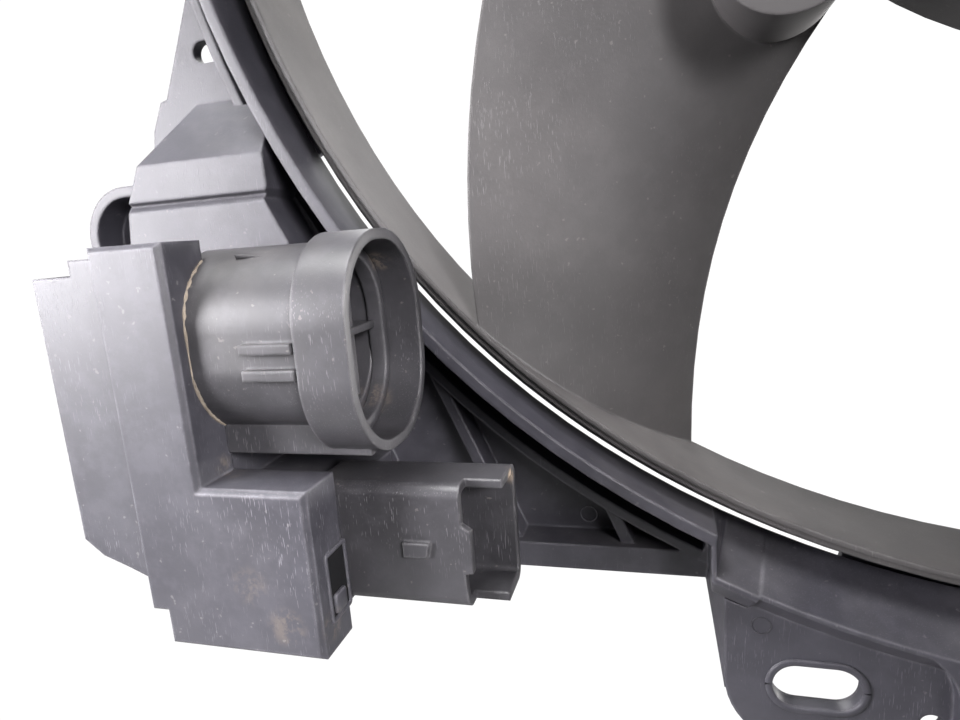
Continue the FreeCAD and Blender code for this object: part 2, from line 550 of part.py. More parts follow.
blade_sections = [blade_section(k) for k in range(STATION_COUNT)]
blade = fan.newObject("PartDesign::AdditiveLoft", "blade")
blade.Profile, blade.Sections = blade_sections[0], blade_sections[1:]
boss_sketch = body_sketch(fan, "root_boss_circle", "XZ_Plane", "-boss_back")
boss_sketch.addGeometry(Part.Circle(Vector(-76, -69, 0), Vector(0, 0, 1), size("boss_rad")), False)
for kind, formula in (("DistanceX", "boss_pitch_rad * cos(boss_angle)"),
                      ("DistanceY", "boss_pitch_rad * sin(boss_angle)")):
    k = boss_sketch.addConstraint(Sketcher.Constraint(kind, -1, 1, 0, 3, sheet_value(formula)))
    boss_sketch.setExpression("Constraints[%d]" % k, link(formula))
k = boss_sketch.addConstraint(Sketcher.Constraint("Radius", 0, size("boss_rad")))
boss_sketch.setExpression("Constraints[%d]" % k, link("boss_rad"))
boss = fan.newObject("PartDesign::Pad", "root_boss")
boss.Profile = boss_sketch
bind(boss, Length="boss_back - boss_front")
round_pattern(fan, "blades", [blade, boss], "blade_count")
turned_feature(fan, "Groove", "tip_trim", [
    ("ring_rad + ring_wall / 2", "-30"), ("ring_rad + 40", "-30"), ("ring_rad + 40", "50"),
    ("ring_rad + ring_wall / 2", "50")])
RING_OUT = "ring_rad + ring_wall"
turned_feature(fan, "Revolution", "fan_ring", [
    ("ring_rad + 0.4", "ring_front"), ("ring_rad + ring_wall / 2", "ring_front"),
    ("ring_rad + ring_wall / 2", "ring_front + ring_step"), (RING_OUT, "ring_front + ring_step"),
    (RING_OUT, "ring_front + ring_rib_y"), (RING_OUT + " + ring_rib", "ring_front + ring_rib_y"),
    (RING_OUT + " + ring_rib", "ring_front + ring_rib_y + 1.4"), (RING_OUT, "ring_front + ring_rib_y + 1.4"),
    (RING_OUT, "ring_front + ring_depth"), ("ring_rad", "ring_front + ring_depth")])
turned_feature(fan, "Groove", "hub_cup", [
    ("12", "hub_front + hub_dish + hub_wall"), ("hub_rad * 0.42 - 1", "hub_front + hub_dish + hub_wall"),
    ("hub_rad * 0.50 + 1", "hub_front + hub_wall"), ("hub_rad - hub_wall", "hub_front + hub_wall"),
    ("hub_rad - hub_wall", "hub_rear + 3"), ("0", "hub_rear + 3"), ("0", "case_front - 4.5"),
    ("12", "case_front - 4.5")])
turned_feature(fan, "Groove", "hub_bore", [
    ("0", "hub_front - 2"), ("shaft_rad", "hub_front - 2"), ("shaft_rad", "hub_rear + 5"),
    ("0", "hub_rear + 5")])
node("fan", fan)

# ---------------------------------------------------------------- motor
case_outer = revolve("case_outer", [
    ("0", "case_front + 4"), ("case_rad", "case_front + 4"), ("case_rad", "case_rear - 4"),
    ("case_rad - 4", "case_rear"), ("bush_rad + 4", "case_rear"), ("bush_rad + 2.5", "case_rear + 7"),
    ("0", "case_rear + 7")])
case_air = revolve("case_air", [
    ("0", "case_front + 3"), ("case_rad - case_wall", "case_front + 3"),
    ("case_rad - case_wall", "case_rear - case_wall - 2"), ("bush_rad", "case_rear - case_wall - 2"),
    ("bush_rad", "case_rear + 5"), ("0", "case_rear + 5")])
case_tab = []
for k in range(int(size("carrier_bolts"))):
    at = "%d + 360 / carrier_bolts * %d" % (30, k)
    x_k, z_k = "carrier_bolt_rad * cos(%s)" % at, "carrier_bolt_rad * sin(%s)" % at
    case_tab.append(rod("case_tab_%d" % k, "screw_rad + 5", ("arm_rear", "arm_rear + flange_thick"), x_k, z_k))
flange = revolve("case_flange", [
    ("case_rad - 1", "arm_rear"), ("case_rad + 4.5", "arm_rear"),
    ("case_rad + 4.5", "arm_rear + flange_thick"), ("case_rad - 1", "arm_rear + flange_thick")])
case_body = cut("case_body", join("case_full", [case_outer, flange] + case_tab), case_air)
node("motor_case", cut("motor_case_drilled", case_body, join("tab_holes", [
    rod("tab_hole_%d" % k, "screw_rad", ("arm_rear - 1", "arm_rear + 4"),
        "carrier_bolt_rad * cos(30 + 360 / carrier_bolts * %d)" % k,
        "carrier_bolt_rad * sin(30 + 360 / carrier_bolts * %d)" % k)
    for k in range(int(size("carrier_bolts")))])))
node("motor_end_plate", revolve("end_plate", [
    ("bush_rad", "case_front"), ("case_rad", "case_front"), ("case_rad", "case_front + 4"),
    ("bush_rad + 3", "case_front + 4"), ("bush_rad + 3", "case_front + bush_long"),
    ("bush_rad", "case_front + bush_long")]))
for label, y0 in (("front_bush", "case_front"), ("rear_bush", "case_rear + 5 - bush_long")):
    node(label, cut(label + "_bored", rod(label + "_solid", "bush_rad", (y0, y0 + " + bush_long")),
                    rod(label + "_bore", "shaft_rad + shaft_fit", (y0 + " - 1", y0 + " + bush_long + 1"))))
CORE_Y = "case_front + bush_long + coil_head + 3"
CORE_END = CORE_Y + " + core_long"
node("motor_shaft", rod("shaft", "shaft_rad", ("hub_front + hub_dish - 6", "case_rear + 4")))
COIL_END = CORE_END + " + coil_head"
COMM_Y = COIL_END + " + 2"
node("armature", revolve("armature_turned", [
    ("shaft_rad", CORE_Y + " - coil_head"), ("core_rad - 3", CORE_Y + " - coil_head"), ("core_rad - 3", CORE_Y),
    ("core_rad", CORE_Y), ("core_rad", CORE_END), ("core_rad - 3", CORE_END), ("core_rad - 3", COIL_END),
    ("commutator_rad", COIL_END), ("commutator_rad", COMM_Y + " + commutator_long"),
    ("shaft_rad", COMM_Y + " + commutator_long")]))
for k, label in enumerate(("magnet_left", "magnet_right")):
    node(label, revolve("%s_arc" % label, [
        ("core_rad + air_gap", CORE_Y + " - 3"), ("core_rad + air_gap + magnet_thick", CORE_Y + " - 3"),
        ("core_rad + air_gap + magnet_thick", CORE_Y + " + core_long + 3"),
        ("core_rad + air_gap", CORE_Y + " + core_long + 3")], "140", "%d" % (20 + 180 * k)))
for label, sign in (("brush_upper", 1), ("brush_lower", -1)):
    ends = sorted(["%d * (commutator_rad + brush_gap)" % sign, "%d * (commutator_rad + 13)" % sign],
                  key=sheet_value)
    node(label, box(label + "_block", ("-3", "3"), (COMM_Y + " + 1.5", COMM_Y + " + commutator_long - 1.5"), ends))
for k in range(int(size("carrier_bolts"))):
    x_k = "carrier_bolt_rad * cos(30 + 360 / carrier_bolts * %d)" % k
    z_k = "carrier_bolt_rad * sin(30 + 360 / carrier_bolts * %d)" % k
    node("motor_screw_%d" % (k + 1), join("motor_screw_solid_%d" % k, [
        rod("screw_stem_%d" % k, "screw_rad", ("arm_front + 1", "arm_rear + flange_thick"), x_k, z_k),
        hexagon("screw_cap_%d" % k, "screw_head", ("arm_rear + flange_thick", "arm_rear + flange_thick + 3"),
                x_k, z_k)]))
nut = hexagon("nut_hex", "shaft_rad * 1.9", ("hub_front + hub_dish - 4.5", "hub_front + hub_dish"))
node("fan_nut", cut("fan_nut_bored", nut, rod("nut_bore", "shaft_rad",
     ("hub_front + hub_dish - 6", "hub_front + hub_dish + 1"))))

# ---------------------------------------------------------------- control module
COVER_REAR = "mod_front + mod_cover"
cover_block = prism("cover_block", [
    ("-mod_left", "-mod_top"), ("-mod_right", "-mod_top"), ("-mod_right", "-mod_step"), ("-mod_block", "-mod_step"),
    ("-mod_block", "-mod_low"), ("-mod_notch_x", "-mod_low"), ("-mod_notch_x", "-mod_notch_z"),
    ("-mod_left", "-mod_notch_z")], ("mod_front", COVER_REAR))
cover_round = rounded("cover_round", cover_block, 0.9,
                      lambda e: abs(e.CenterOfMass.y - size("mod_front")) < 0.01, "Part::Chamfer")
cover_air = prism("cover_air", [
    ("-mod_left + mod_wall", "-mod_top - mod_wall"), ("-mod_right - mod_wall", "-mod_top - mod_wall"),
    ("-mod_right - mod_wall", "-mod_step - mod_wall"), ("-mod_block - mod_wall", "-mod_step - mod_wall"),
    ("-mod_block - mod_wall", "-mod_low + mod_wall"), ("-mod_notch_x + mod_wall", "-mod_low + mod_wall"),
    ("-mod_notch_x + mod_wall", "-mod_notch_z"), ("-mod_left + mod_wall", "-mod_notch_z + mod_wall")],
    ("mod_front + mod_wall", COVER_REAR + " + 1"))
base_block = prism("base_block", [
    ("-base_left", "-base_top"), ("-mod_right - 1.5", "-base_top"), ("-mod_right - 1.5", "-mod_step - 4"),
    ("-mod_block - 1", "-mod_step - 6"), ("-mod_block - 1", "-base_low - 3"), ("-mod_notch_x", "-base_low - 3"),
    ("-209.5", "-base_low"), ("-214", "-base_low + 1.9"), ("-base_left + base_cut", "-base_low + base_cut - 0.2"),
    ("-base_left", "-base_low + 8")], (COVER_REAR, "pad_front"))
base_air = prism("base_air", [
    ("-base_left + mod_wall", "-base_top - mod_wall"), ("-mod_right - 1.5 - mod_wall", "-base_top - mod_wall"),
    ("-mod_right - 1.5 - mod_wall", "-base_low + mod_wall + 2"), ("-213", "-base_low + mod_wall + 2"),
    ("-base_left + mod_wall", "-base_low + 10")], (COVER_REAR + " + 2.5", "pad_front - 3"))
base_key = box("base_key", ("-215", "-mod_left - 0"), (COVER_REAR, COVER_REAR + " + 6"),
               ("-base_top", "-115.4"))
signal_seat = box("signal_seat", ("-mod_block - 6", "-mod_block"),
                  ("sig_front", "sig_rear"), ("-sig_low", "-sig_top"))

def plug_shell(name, half_y, half_z, mid_z, x):
    """Rounded oblong bar along X, the power socket's section."""
    block = side_prism(name, [
        ("plug_y - (%s)" % half_y, "%s - (%s)" % (mid_z, half_z)), ("plug_y + (%s)" % half_y,
         "%s - (%s)" % (mid_z, half_z)), ("plug_y + (%s)" % half_y, "%s + (%s)" % (mid_z, half_z)),
        ("plug_y - (%s)" % half_y, "%s + (%s)" % (mid_z, half_z))], x)
    radius = min(sheet_value(half_y), sheet_value(half_z)) - 1.2
    return rounded(name + "_round", block, radius, lambda e: along(e, X))


collar = plug_shell("plug_collar", "plug_half_y", "plug_half_z", "-plug_z", ("-plug_face - plug_collar", "-plug_face"))
neck = plug_shell("plug_neck", "plug_half_y - collar_step", "plug_half_z - collar_step - 1.3", "-plug_z + 1.3",
                  ("-mod_right - 3", "-plug_face - 2"))
rail = box("plug_rail", ("-mod_right - 3", "-plug_face - 2"), ("plug_y - 9", "plug_y + 9"),
           ("-plug_z - plug_half_z + 0.7", "-plug_z - plug_half_z + 8"))
keys = [box("plug_key_%d" % k, ("-171", "-160.6"), ("plug_y - plug_half_y", "plug_y"),
            ("%s" % z0, "%s + 1.9" % z0)) for k, z0 in enumerate(("-134.2", "-138.9"))]
plug_body = join("plug_body", [neck, rail])
node("module_cover", cut("cover", cut("cover_shell", cover_round, cover_air), plug_body))
node("module_housing", cut("housing", join("housing_solid", [base_block, base_key]),
                           join("housing_cuts", [base_air, plug_body, signal_seat])))
plug_air = plug_shell("plug_air", "plug_half_y - plug_wall", "plug_half_z - plug_wall", "-plug_z",
                      ("-plug_face - plug_collar - 0.5", "-plug_face + 1"))
neck_air = plug_shell("plug_neck_air", "plug_half_y - collar_step - plug_wall",
                      "plug_half_z - collar_step - 1.3 - plug_wall", "-plug_z + 1.3",
                      ("-mod_right + 4", "-plug_face - 2"))
island = box("plug_island", ("-mod_right + 3", "-plug_face - 10"), ("plug_y - 5", "plug_y + 5"),
             ("-plug_z - 12", "-plug_z + 13"))
plug_open = cut("plug_open", join("plug_solid", [collar, plug_body] + keys),
                join("plug_cavity", [plug_air, neck_air]))
plug_full = join("plug_full", [plug_open, island])
terminal_slots = [box("terminal_slot_%d" % k, ("-mod_right - 4", "-plug_face"), ("plug_y - 0.8", "plug_y + 0.8"),
                      ("-plug_z + %s - blade_half" % z0, "-plug_z + %s + blade_half" % z0))
                  for k, z0 in enumerate((-6.2, 6.8))]
node("power_socket", cut("power_socket_solid", plug_full, join("terminal_slots", terminal_slots)))
for k, z0 in enumerate((-6.2, 6.8)):
    node("power_terminal_%d" % (k + 1), box("power_blade_%d" % k, ("-mod_right - 3", "-plug_face - 9"),
         ("plug_y - 0.8", "plug_y + 0.8"),
         ("-plug_z + %s - blade_half" % z0, "-plug_z + %s + blade_half" % z0)))

signal_block = box("signal_block", ("-mod_block - 6", "-sig_face"), ("sig_front", "sig_rear"),
                   ("-sig_low", "-sig_top"))
signal_round = rounded("signal_round", signal_block, 2.6, lambda e: along(e, X))
signal_air = box("signal_air", ("-mod_block + 4", "-sig_face + 1"), ("sig_front + sig_wall", "sig_rear - sig_wall"),
                 ("-sig_low + sig_wall", "-sig_top - sig_wall"))
signal_air_round = rounded("signal_air_round", signal_air, 1.2, lambda e: along(e, X))
pin_slots = [box("pin_slot_%d" % k, ("-mod_block - 7", "-mod_block + 5"),
                 ("(sig_front + sig_rear) / 2 - pin_half", "(sig_front + sig_rear) / 2 + pin_half"),
                 ("-(sig_top + sig_low) / 2 + %g - pin_half" % (6 - 6 * k),
                  "-(sig_top + sig_low) / 2 + %g + pin_half" % (6 - 6 * k))) for k in range(3)]
near_cut = prism("near_cut", [
    ("-sig_near", "-sig_top + 1"), ("-sig_near", "-170.0"), ("-sig_near + 1.8", "-171.2"),
    ("-sig_near + 1.8", "-179.7"), ("-sig_near + 0.2", "-179.9"), ("-sig_near + 0.6", "-sig_low - 1"),
    ("-sig_face + 1", "-sig_low - 1"), ("-sig_face + 1", "-sig_top + 1")], ("sig_front - 1", "sig_front + 4.6"))
lock = prism("signal_lock", [("-148.4", "-173.6"), ("-142.9", "-173.6"), ("-143.6", "-176.6"), ("-148.4", "-176.6")],
             ("sig_front - 1", "sig_front + 0.5"))
node("signal_socket", join("signal_socket_solid", [cut("signal_shell", signal_round,
     join("signal_cuts", [signal_air_round, near_cut] + pin_slots)), lock]))
SIG_Y = "(sig_front + sig_rear) / 2"
for k in range(3):
    z_k = "-(sig_top + sig_low) / 2 + %g" % (6 - 6 * k)
    node("signal_pin_%d" % (k + 1), box("signal_pin_bar_%d" % k, ("-mod_block - 6", "-sig_near - 6"),
         (SIG_Y + " - pin_half", SIG_Y + " + pin_half"), (z_k + " - pin_half", z_k + " + pin_half")))
board_y = COVER_REAR + " + 20"
node("circuit_board", box("board", ("-base_left + mod_wall + 0.5", "-mod_right - 10"),
                          (board_y, board_y + " + board_thick"), ("-base_low + 12", "-base_top - 4")))
for k in range(2):
    z_k = "-base_top - %d" % (8 + 26 * k)
    node("relay_%d" % (k + 1), box("relay_case_%d" % k, ("-base_left + 5", "-base_left + 25"),
                                   (board_y + " - 15", board_y), (z_k + " - 22", z_k)))

doc.recompute()
failed = [o.Name for o in doc.Objects if "Invalid" in o.State or "Error" in o.State]
if failed:
    raise RuntimeError("failed objects: %s" % failed)
os.makedirs("parts", exist_ok=True)
for label, obj in nodes:
    if obj.Shape.isNull() or not obj.Shape.isValid():
        raise RuntimeError("bad shape: " + label)
    obj.Shape.exportStep(os.path.join("parts", label + ".step"))
    print("%-20s solids %d volume %.0f" % (label, len(obj.Shape.Solids), obj.Shape.Volume))
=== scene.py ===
import json
import math
import bmesh
import bpy
from mathutils import Matrix, Vector


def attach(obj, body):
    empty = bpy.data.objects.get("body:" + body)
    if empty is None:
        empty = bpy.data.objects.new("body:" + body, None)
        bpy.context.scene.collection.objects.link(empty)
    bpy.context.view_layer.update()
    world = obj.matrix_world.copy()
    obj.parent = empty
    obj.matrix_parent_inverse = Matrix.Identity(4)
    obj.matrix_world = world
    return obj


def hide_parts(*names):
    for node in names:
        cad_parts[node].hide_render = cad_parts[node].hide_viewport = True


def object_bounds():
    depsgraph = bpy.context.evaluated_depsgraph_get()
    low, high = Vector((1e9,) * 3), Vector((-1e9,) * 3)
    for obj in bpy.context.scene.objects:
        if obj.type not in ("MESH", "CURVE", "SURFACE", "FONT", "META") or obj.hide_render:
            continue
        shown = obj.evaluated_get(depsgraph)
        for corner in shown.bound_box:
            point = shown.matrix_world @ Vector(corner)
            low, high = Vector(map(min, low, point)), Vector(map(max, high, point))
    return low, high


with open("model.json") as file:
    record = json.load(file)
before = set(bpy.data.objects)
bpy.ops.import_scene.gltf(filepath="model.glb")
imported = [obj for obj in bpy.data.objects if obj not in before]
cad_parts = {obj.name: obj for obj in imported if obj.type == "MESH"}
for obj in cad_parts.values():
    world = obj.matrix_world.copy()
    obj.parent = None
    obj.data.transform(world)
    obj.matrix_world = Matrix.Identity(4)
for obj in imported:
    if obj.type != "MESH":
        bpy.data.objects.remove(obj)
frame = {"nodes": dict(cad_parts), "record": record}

cadBox = [list(map(float, corner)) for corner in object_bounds()]
nodes = frame["nodes"]
scene = bpy.context.scene
mm = 0.001  # pieces are drawn in millimetres, and addPiece scales them once

camera = {"lens": 24.72, "sensor": 36.0, "nearest": 0.005, "place": (-0.09799, -0.14044, -0.11576),
          "right": (0.96056496, 0.26757366, -0.07562604), "down": (-0.01982544, -0.20538273, -0.97848091),
          "ahead": (-0.277348, 0.94139379, -0.19197869)}


def addCamera():
    data = bpy.data.cameras.new("camera")
    data.lens = camera["lens"]
    data.sensor_width = camera["sensor"]
    data.clip_start = camera["nearest"]
    eye = bpy.data.objects.new("camera", data)
    scene.collection.objects.link(eye)
    axes = Matrix((Vector(camera["right"]), -Vector(camera["down"]), -Vector(camera["ahead"])))
    eye.matrix_world = Matrix.Translation(camera["place"]) @ axes.transposed().to_4x4()
    scene.camera = eye


addCamera()

# metres and watts; a narrow spread keeps a light on its own side of the shroud
lights = {
    "keyLight": {"place": (-0.50, -0.24, -0.05), "target": (-0.16, 0.0, -0.13), "size": (0.22, 0.26),
                 "power": 0.72, "colour": (0.985, 0.965, 1.0), "spread": 44},
    "frontLight": {"place": (0.10, -0.30, 0.0), "target": (-0.17, -0.03, -0.145), "size": (0.14, 0.14),
                   "power": 0.20, "colour": (1.0, 0.98, 1.0), "spread": 36},
    "topLight": {"place": (-0.30, -0.16, 0.55), "target": (-0.20, 0.0, -0.12), "size": (0.3, 0.3),
                 "power": 0.95, "colour": (1.0, 1.0, 1.0), "spread": 42},
    "fillLight": {"place": (0.55, 0.50, -0.17), "target": (-0.19, 0.01, -0.07), "size": (0.3, 0.3),
                  "power": 1.1, "colour": (1.0, 0.98, 0.97), "spread": 34},
    "backLight": {"place": (-0.5, 1.1, 0.6), "target": (0.0, 0.03, 0.0), "size": (0.8, 0.8),
                  "power": 14.0, "colour": (1.0, 1.0, 1.0), "spread": 170},
}
studio = {"world": 0.07, "worldColour": (0.97, 0.97, 1.0), "backdrop": 1.05,
          "floorColour": (0.25, 0.25, 0.25), "floorRough": 0.9, "floorHalf": 6.0, "floorGap": 0.0005}


def addLight(name, look):
    lamp = bpy.data.lights.new(name, "AREA")
    lamp.spread = math.radians(look["spread"])
    lamp.shape = "RECTANGLE"
    lamp.size, lamp.size_y = look["size"]
    lamp.energy = look["power"]
    lamp.color = look["colour"]
    item = bpy.data.objects.new(name, lamp)
    scene.collection.objects.link(item)
    item.location = look["place"]
    aim = Vector(look["target"]) - Vector(look["place"])
    item.rotation_euler = aim.to_track_quat("-Z", "Y").to_euler()


def shownAsWhite(tree, lit, out):
    path = tree.nodes.new("ShaderNodeLightPath")  # white to the camera, while the light it gives stays soft
    glow = tree.nodes.new("ShaderNodeEmission")
    glow.inputs["Strength"].default_value = studio["backdrop"]
    mix = tree.nodes.new("ShaderNodeMixShader")
    tree.links.new(path.outputs["Is Camera Ray"], mix.inputs[0])
    tree.links.new(lit, mix.inputs[1])
    tree.links.new(glow.outputs[0], mix.inputs[2])
    tree.links.new(mix.outputs[0], out)


def addWorld():
    world = bpy.data.worlds.new("studio")
    scene.world = world
    world.use_nodes = True
    back = world.node_tree.nodes["Background"]
    back.inputs["Color"].default_value = (*studio["worldColour"], 1)
    back.inputs["Strength"].default_value = studio["world"]
    shownAsWhite(world.node_tree, back.outputs[0], world.node_tree.nodes["World Output"].inputs["Surface"])


def addFloor():
    shape = bmesh.new()
    bmesh.ops.create_grid(shape, x_segments=1, y_segments=1, size=studio["floorHalf"])
    bmesh.ops.translate(shape, verts=shape.verts, vec=(0, 0, cadBox[0][2] - studio["floorGap"]))
    mesh = bpy.data.meshes.new("floor")
    shape.to_mesh(mesh)
    shape.free()
    floor = bpy.data.objects.new("floor", mesh)
    scene.collection.objects.link(floor)
    paint = bpy.data.materials.new("floorPaint")
    paint.use_nodes = True
    tree = paint.node_tree
    shader = tree.nodes["Principled BSDF"]
    shader.inputs["Base Color"].default_value = (*studio["floorColour"], 1)
    shader.inputs["Roughness"].default_value = studio["floorRough"]
    shownAsWhite(tree, shader.outputs[0], tree.nodes["Material Output"].inputs["Surface"])
    mesh.materials.append(paint)


addWorld()
for name, look in lights.items():
    addLight(name, look)
addFloor()
scene.view_settings.view_transform = "Standard"
print("camera and studio set")


class Graph:

    def __init__(self, name):
        self.material = bpy.data.materials.new(name)
        self.material.use_nodes = True
        self.tree = self.material.node_tree
        self.shader = self.tree.nodes["Principled BSDF"]
        self.place = self.add("ShaderNodeTexCoord").outputs["Object"]

    def add(self, kind, **settings):
        node = self.tree.nodes.new(kind)
        for key, value in settings.items():
            setattr(node, key, value)
        return node

    def join(self, source, target):
        self.tree.links.new(source, target)

    def feed(self, socket, value):
        if isinstance(value, bpy.types.NodeSocket):
            self.join(value, socket)
        elif isinstance(value, tuple) and len(socket.default_value) == 4:
            socket.default_value = (*value, 1)
        else:
            socket.default_value = value

    def stretch(self, scale, turn=(0, 0, 0)):
        mapping = self.add("ShaderNodeMapping")
        mapping.inputs["Scale"].default_value = scale
        mapping.inputs["Rotation"].default_value = turn
        self.join(self.place, mapping.inputs["Vector"])
        return mapping.outputs["Vector"]

    def noise(self, scale, detail, rough, at=None, warp=0.0):
        noise = self.add("ShaderNodeTexNoise")
        for key, value in (("Scale", scale), ("Detail", detail), ("Roughness", rough), ("Distortion", warp)):
            noise.inputs[key].default_value = value
        self.join(at or self.place, noise.inputs["Vector"])
        return noise.outputs["Fac"]

    def ramp(self, source, low, high, first=0.0, last=1.0):
        ramp = self.add("ShaderNodeMapRange", interpolation_type="SMOOTHSTEP")
        for key, value in (("From Min", low), ("From Max", high), ("To Min", first), ("To Max", last)):
            ramp.inputs[key].default_value = value
        self.join(source, ramp.inputs["Value"])
        return ramp.outputs["Result"]

    def maths(self, kind, a, b):
        maths = self.add("ShaderNodeMath", operation=kind)
        self.feed(maths.inputs[0], a)
        self.feed(maths.inputs[1], b)
        return maths.outputs["Value"]

    def mix(self, amount, first, second):
        mix = self.add("ShaderNodeMix", data_type="RGBA")
        self.feed(mix.inputs[0], amount)
        self.feed(mix.inputs[6], first)  # the colour sockets of a Mix node are its seventh and eighth
        self.feed(mix.inputs[7], second)
        return mix.outputs[2]

    def dot(self, a, b):
        dot = self.add("ShaderNodeVectorMath", operation="DOT_PRODUCT")
        self.feed(dot.inputs[0], a)
        self.feed(dot.inputs[1], b)
        return dot.outputs["Value"]

    def flat(self):
        return self.add("ShaderNodeNewGeometry").outputs["Normal"]

    def softEdge(self, radius):
        bevel = self.add("ShaderNodeBevel", samples=4)
        bevel.inputs["Radius"].default_value = radius * mm
        return bevel.outputs["Normal"]

    def near(self, centre, radius):
        away = self.add("ShaderNodeVectorMath", operation="DISTANCE")
        self.join(self.place, away.inputs[0])
        away.inputs[1].default_value = [value * mm for value in centre]
        return self.ramp(away.outputs["Value"], radius * mm, radius * mm * moulded["stainCore"])

    def bump(self, source, depth, strength, under):
        bump = self.add("ShaderNodeBump")
        bump.inputs["Distance"].default_value = depth
        bump.inputs["Strength"].default_value = strength
        self.join(source, bump.inputs["Height"])
        self.join(under, bump.inputs["Normal"])
        return bump.outputs["Normal"]


# noise scales are cycles in a metre; a range is where a noise starts and stops to show
moulded = {
    "grain": (3.0, 0.6), "grainStrength": 0.55,
    "cloud": (24.0, 5.0, 0.6), "cloudRange": (0.3, 0.72),
    "fine": (170.0, 6.0, 0.65), "fineRange": (0.42, 0.66, 0.0, 0.4),
    "flow": (11.0, 4.0, 0.55), "flowStretch": (1.0, 2.4, 1.0), "flowWarp": 0.6, "flowRange": (0.3, 0.7),
    "flowRough": 0.05, "flowDepth": 0.0005, "flowStrength": 0.3,
    "scratchNoise": (1.0, 1.5, 0.45), "scratchFade": 0.04, "scratchDepth": 0.00005, "scratchStrength": 0.5,
    "scratchAreas": (28.0, 3.0, 0.6), "scratchAreaRange": (0.40, 0.62),
    "wearAndHighlightEdge": (0.992, 0.93), "wearAndHighlightNoise": (95.0, 5.0, 0.7), "wearAndHighlightRange": (0.38, 0.66, 0.15, 1.0),
    "dustPatch": (16.0, 6.0, 0.65), "dustWarp": 0.4, "dustRange": (0.45, 0.72), "dustMost": 0.9,
    "dustFacing": (-0.2, -0.1, 0.95), "dustRough": 0.25, "roughMost": 0.95,
    "specks": (650.0, 2.0, 0.5), "speckRange": (0.70, 0.75),
    "stainNoise": (420.0, 5.0, 0.7), "stainRange": (0.44, 0.60), "stainCore": 0.35,
}
# across, along, turn and cut of each family of scratches
scratchLines = (
    (5200.0, 260.0, (0.1, 0.75, 0.0), 0.70), (4800.0, 300.0, (0.15, -0.9, 0.1), 0.705),
    (4800.0, 300.0, (-0.1, 1.35, 0.1), 0.71), (4800.0, 300.0, (0.7, 0.3, 0.9), 0.70),
)


def scratchMask(g):
    mask = None
    for across, along, turn, cut in scratchLines:
        lines = g.noise(*moulded["scratchNoise"], at=g.stretch((across, across, along), turn))
        family = g.ramp(lines, cut, cut + moulded["scratchFade"])
        mask = g.maths("MAXIMUM", mask, family) if mask else family
    areas = g.ramp(g.noise(*moulded["scratchAreas"]), *moulded["scratchAreaRange"])
    return g.maths("MULTIPLY", mask, areas)


def dustMask(g, look):
    patch = g.ramp(g.noise(*moulded["dustPatch"], warp=moulded["dustWarp"]), *moulded["dustRange"])
    upward = g.ramp(g.dot(g.flat(), moulded["dustFacing"]), 0.0, 1.0)
    dustUp = g.maths("MULTIPLY", upward, look["dustUp"])
    dust = g.maths("ADD", g.maths("MULTIPLY", patch, look["dust"]), g.maths("MULTIPLY", dustUp, patch))
    specks = g.maths("MULTIPLY", g.ramp(g.noise(*moulded["specks"]), *moulded["speckRange"]), look["specks"])
    return g.maths("MINIMUM", g.maths("ADD", dust, specks), moulded["dustMost"])


def mouldedPlastic(name, look):
    g = Graph(name)
    flow = g.noise(*moulded["flow"], at=g.stretch(moulded["flowStretch"]), warp=moulded["flowWarp"])
    tone = g.mix(g.ramp(g.noise(*moulded["cloud"]), *moulded["cloudRange"]), look["dark"], look["light"])
    tone = g.mix(g.ramp(g.noise(*moulded["fine"]), *moulded["fineRange"]), tone, look["bloom"])
    scratches = scratchMask(g)
    scratched = g.maths("MULTIPLY", scratches, look["scratch"])
    tone = g.mix(scratched, tone, look["scratchWearHighlightColour"])
    rounded = g.softEdge(look["edge"])
    # rounded edges turn to the scratch colour in noisy patches: partly edge wear, partly a painted highlight
    # along the edges
    edgeWearAndHighlight = g.ramp(g.dot(rounded, g.flat()), *moulded["wearAndHighlightEdge"])
    rubbedAndHighlit = g.maths("MULTIPLY", edgeWearAndHighlight, g.ramp(g.noise(*moulded["wearAndHighlightNoise"]), *moulded["wearAndHighlightRange"]))
    tone = g.mix(g.maths("MULTIPLY", rubbedAndHighlit, look["wearAndHighlight"]), tone, look["scratchWearHighlightColour"])
    dust = dustMask(g, look)
    coated = g.mix(dust, tone, look["dustColour"])
    broken = g.ramp(g.noise(*moulded["stainNoise"]), *moulded["stainRange"])
    for centre, radius, amount in look.get("stains", ()):
        spot = g.maths("MULTIPLY", g.near(centre, radius), g.maths("MULTIPLY", broken, amount))
        coated = g.mix(spot, coated, look["stainColour"])
    g.join(coated, g.shader.inputs["Base Color"])
    low, high = look["rough"] - moulded["flowRough"], look["rough"] + moulded["flowRough"]
    rough = g.maths("ADD", g.ramp(flow, *moulded["flowRange"], low, high),
                    g.maths("MULTIPLY", g.maths("ADD", dust, scratched), moulded["dustRough"]))
    g.join(g.maths("MINIMUM", rough, moulded["roughMost"]), g.shader.inputs["Roughness"])
    g.shader.inputs["Specular IOR Level"].default_value = look["gloss"]
    under = g.bump(flow, moulded["flowDepth"], moulded["flowStrength"], rounded)
    under = g.bump(scratches, moulded["scratchDepth"], moulded["scratchStrength"], under)
    grain = g.noise(look["grain"], *moulded["grain"])
    g.join(g.bump(grain, look["grainDepth"], moulded["grainStrength"], under), g.shader.inputs["Normal"])
    return g.material


worked = {
    "cloud": (30.0, 5.0, 0.6), "cloudRange": (0.35, 0.7),
    "lines": (160.0, 3.0, 0.5), "turned": (1.0, 0.08, 1.0), "lineRange": (0.3, 0.7), "lineRough": (0.08, 0.1),
    "lineDepth": 0.00005, "lineStrength": 0.4,
    "stain": (55.0, 6.0, 0.7), "stainWarp": 0.5, "stainRange": (0.55, 0.75),
    "edge": 0.5, "wearAndHighlightEdge": (0.99, 0.92), "wearAndHighlightShare": 0.45,
}


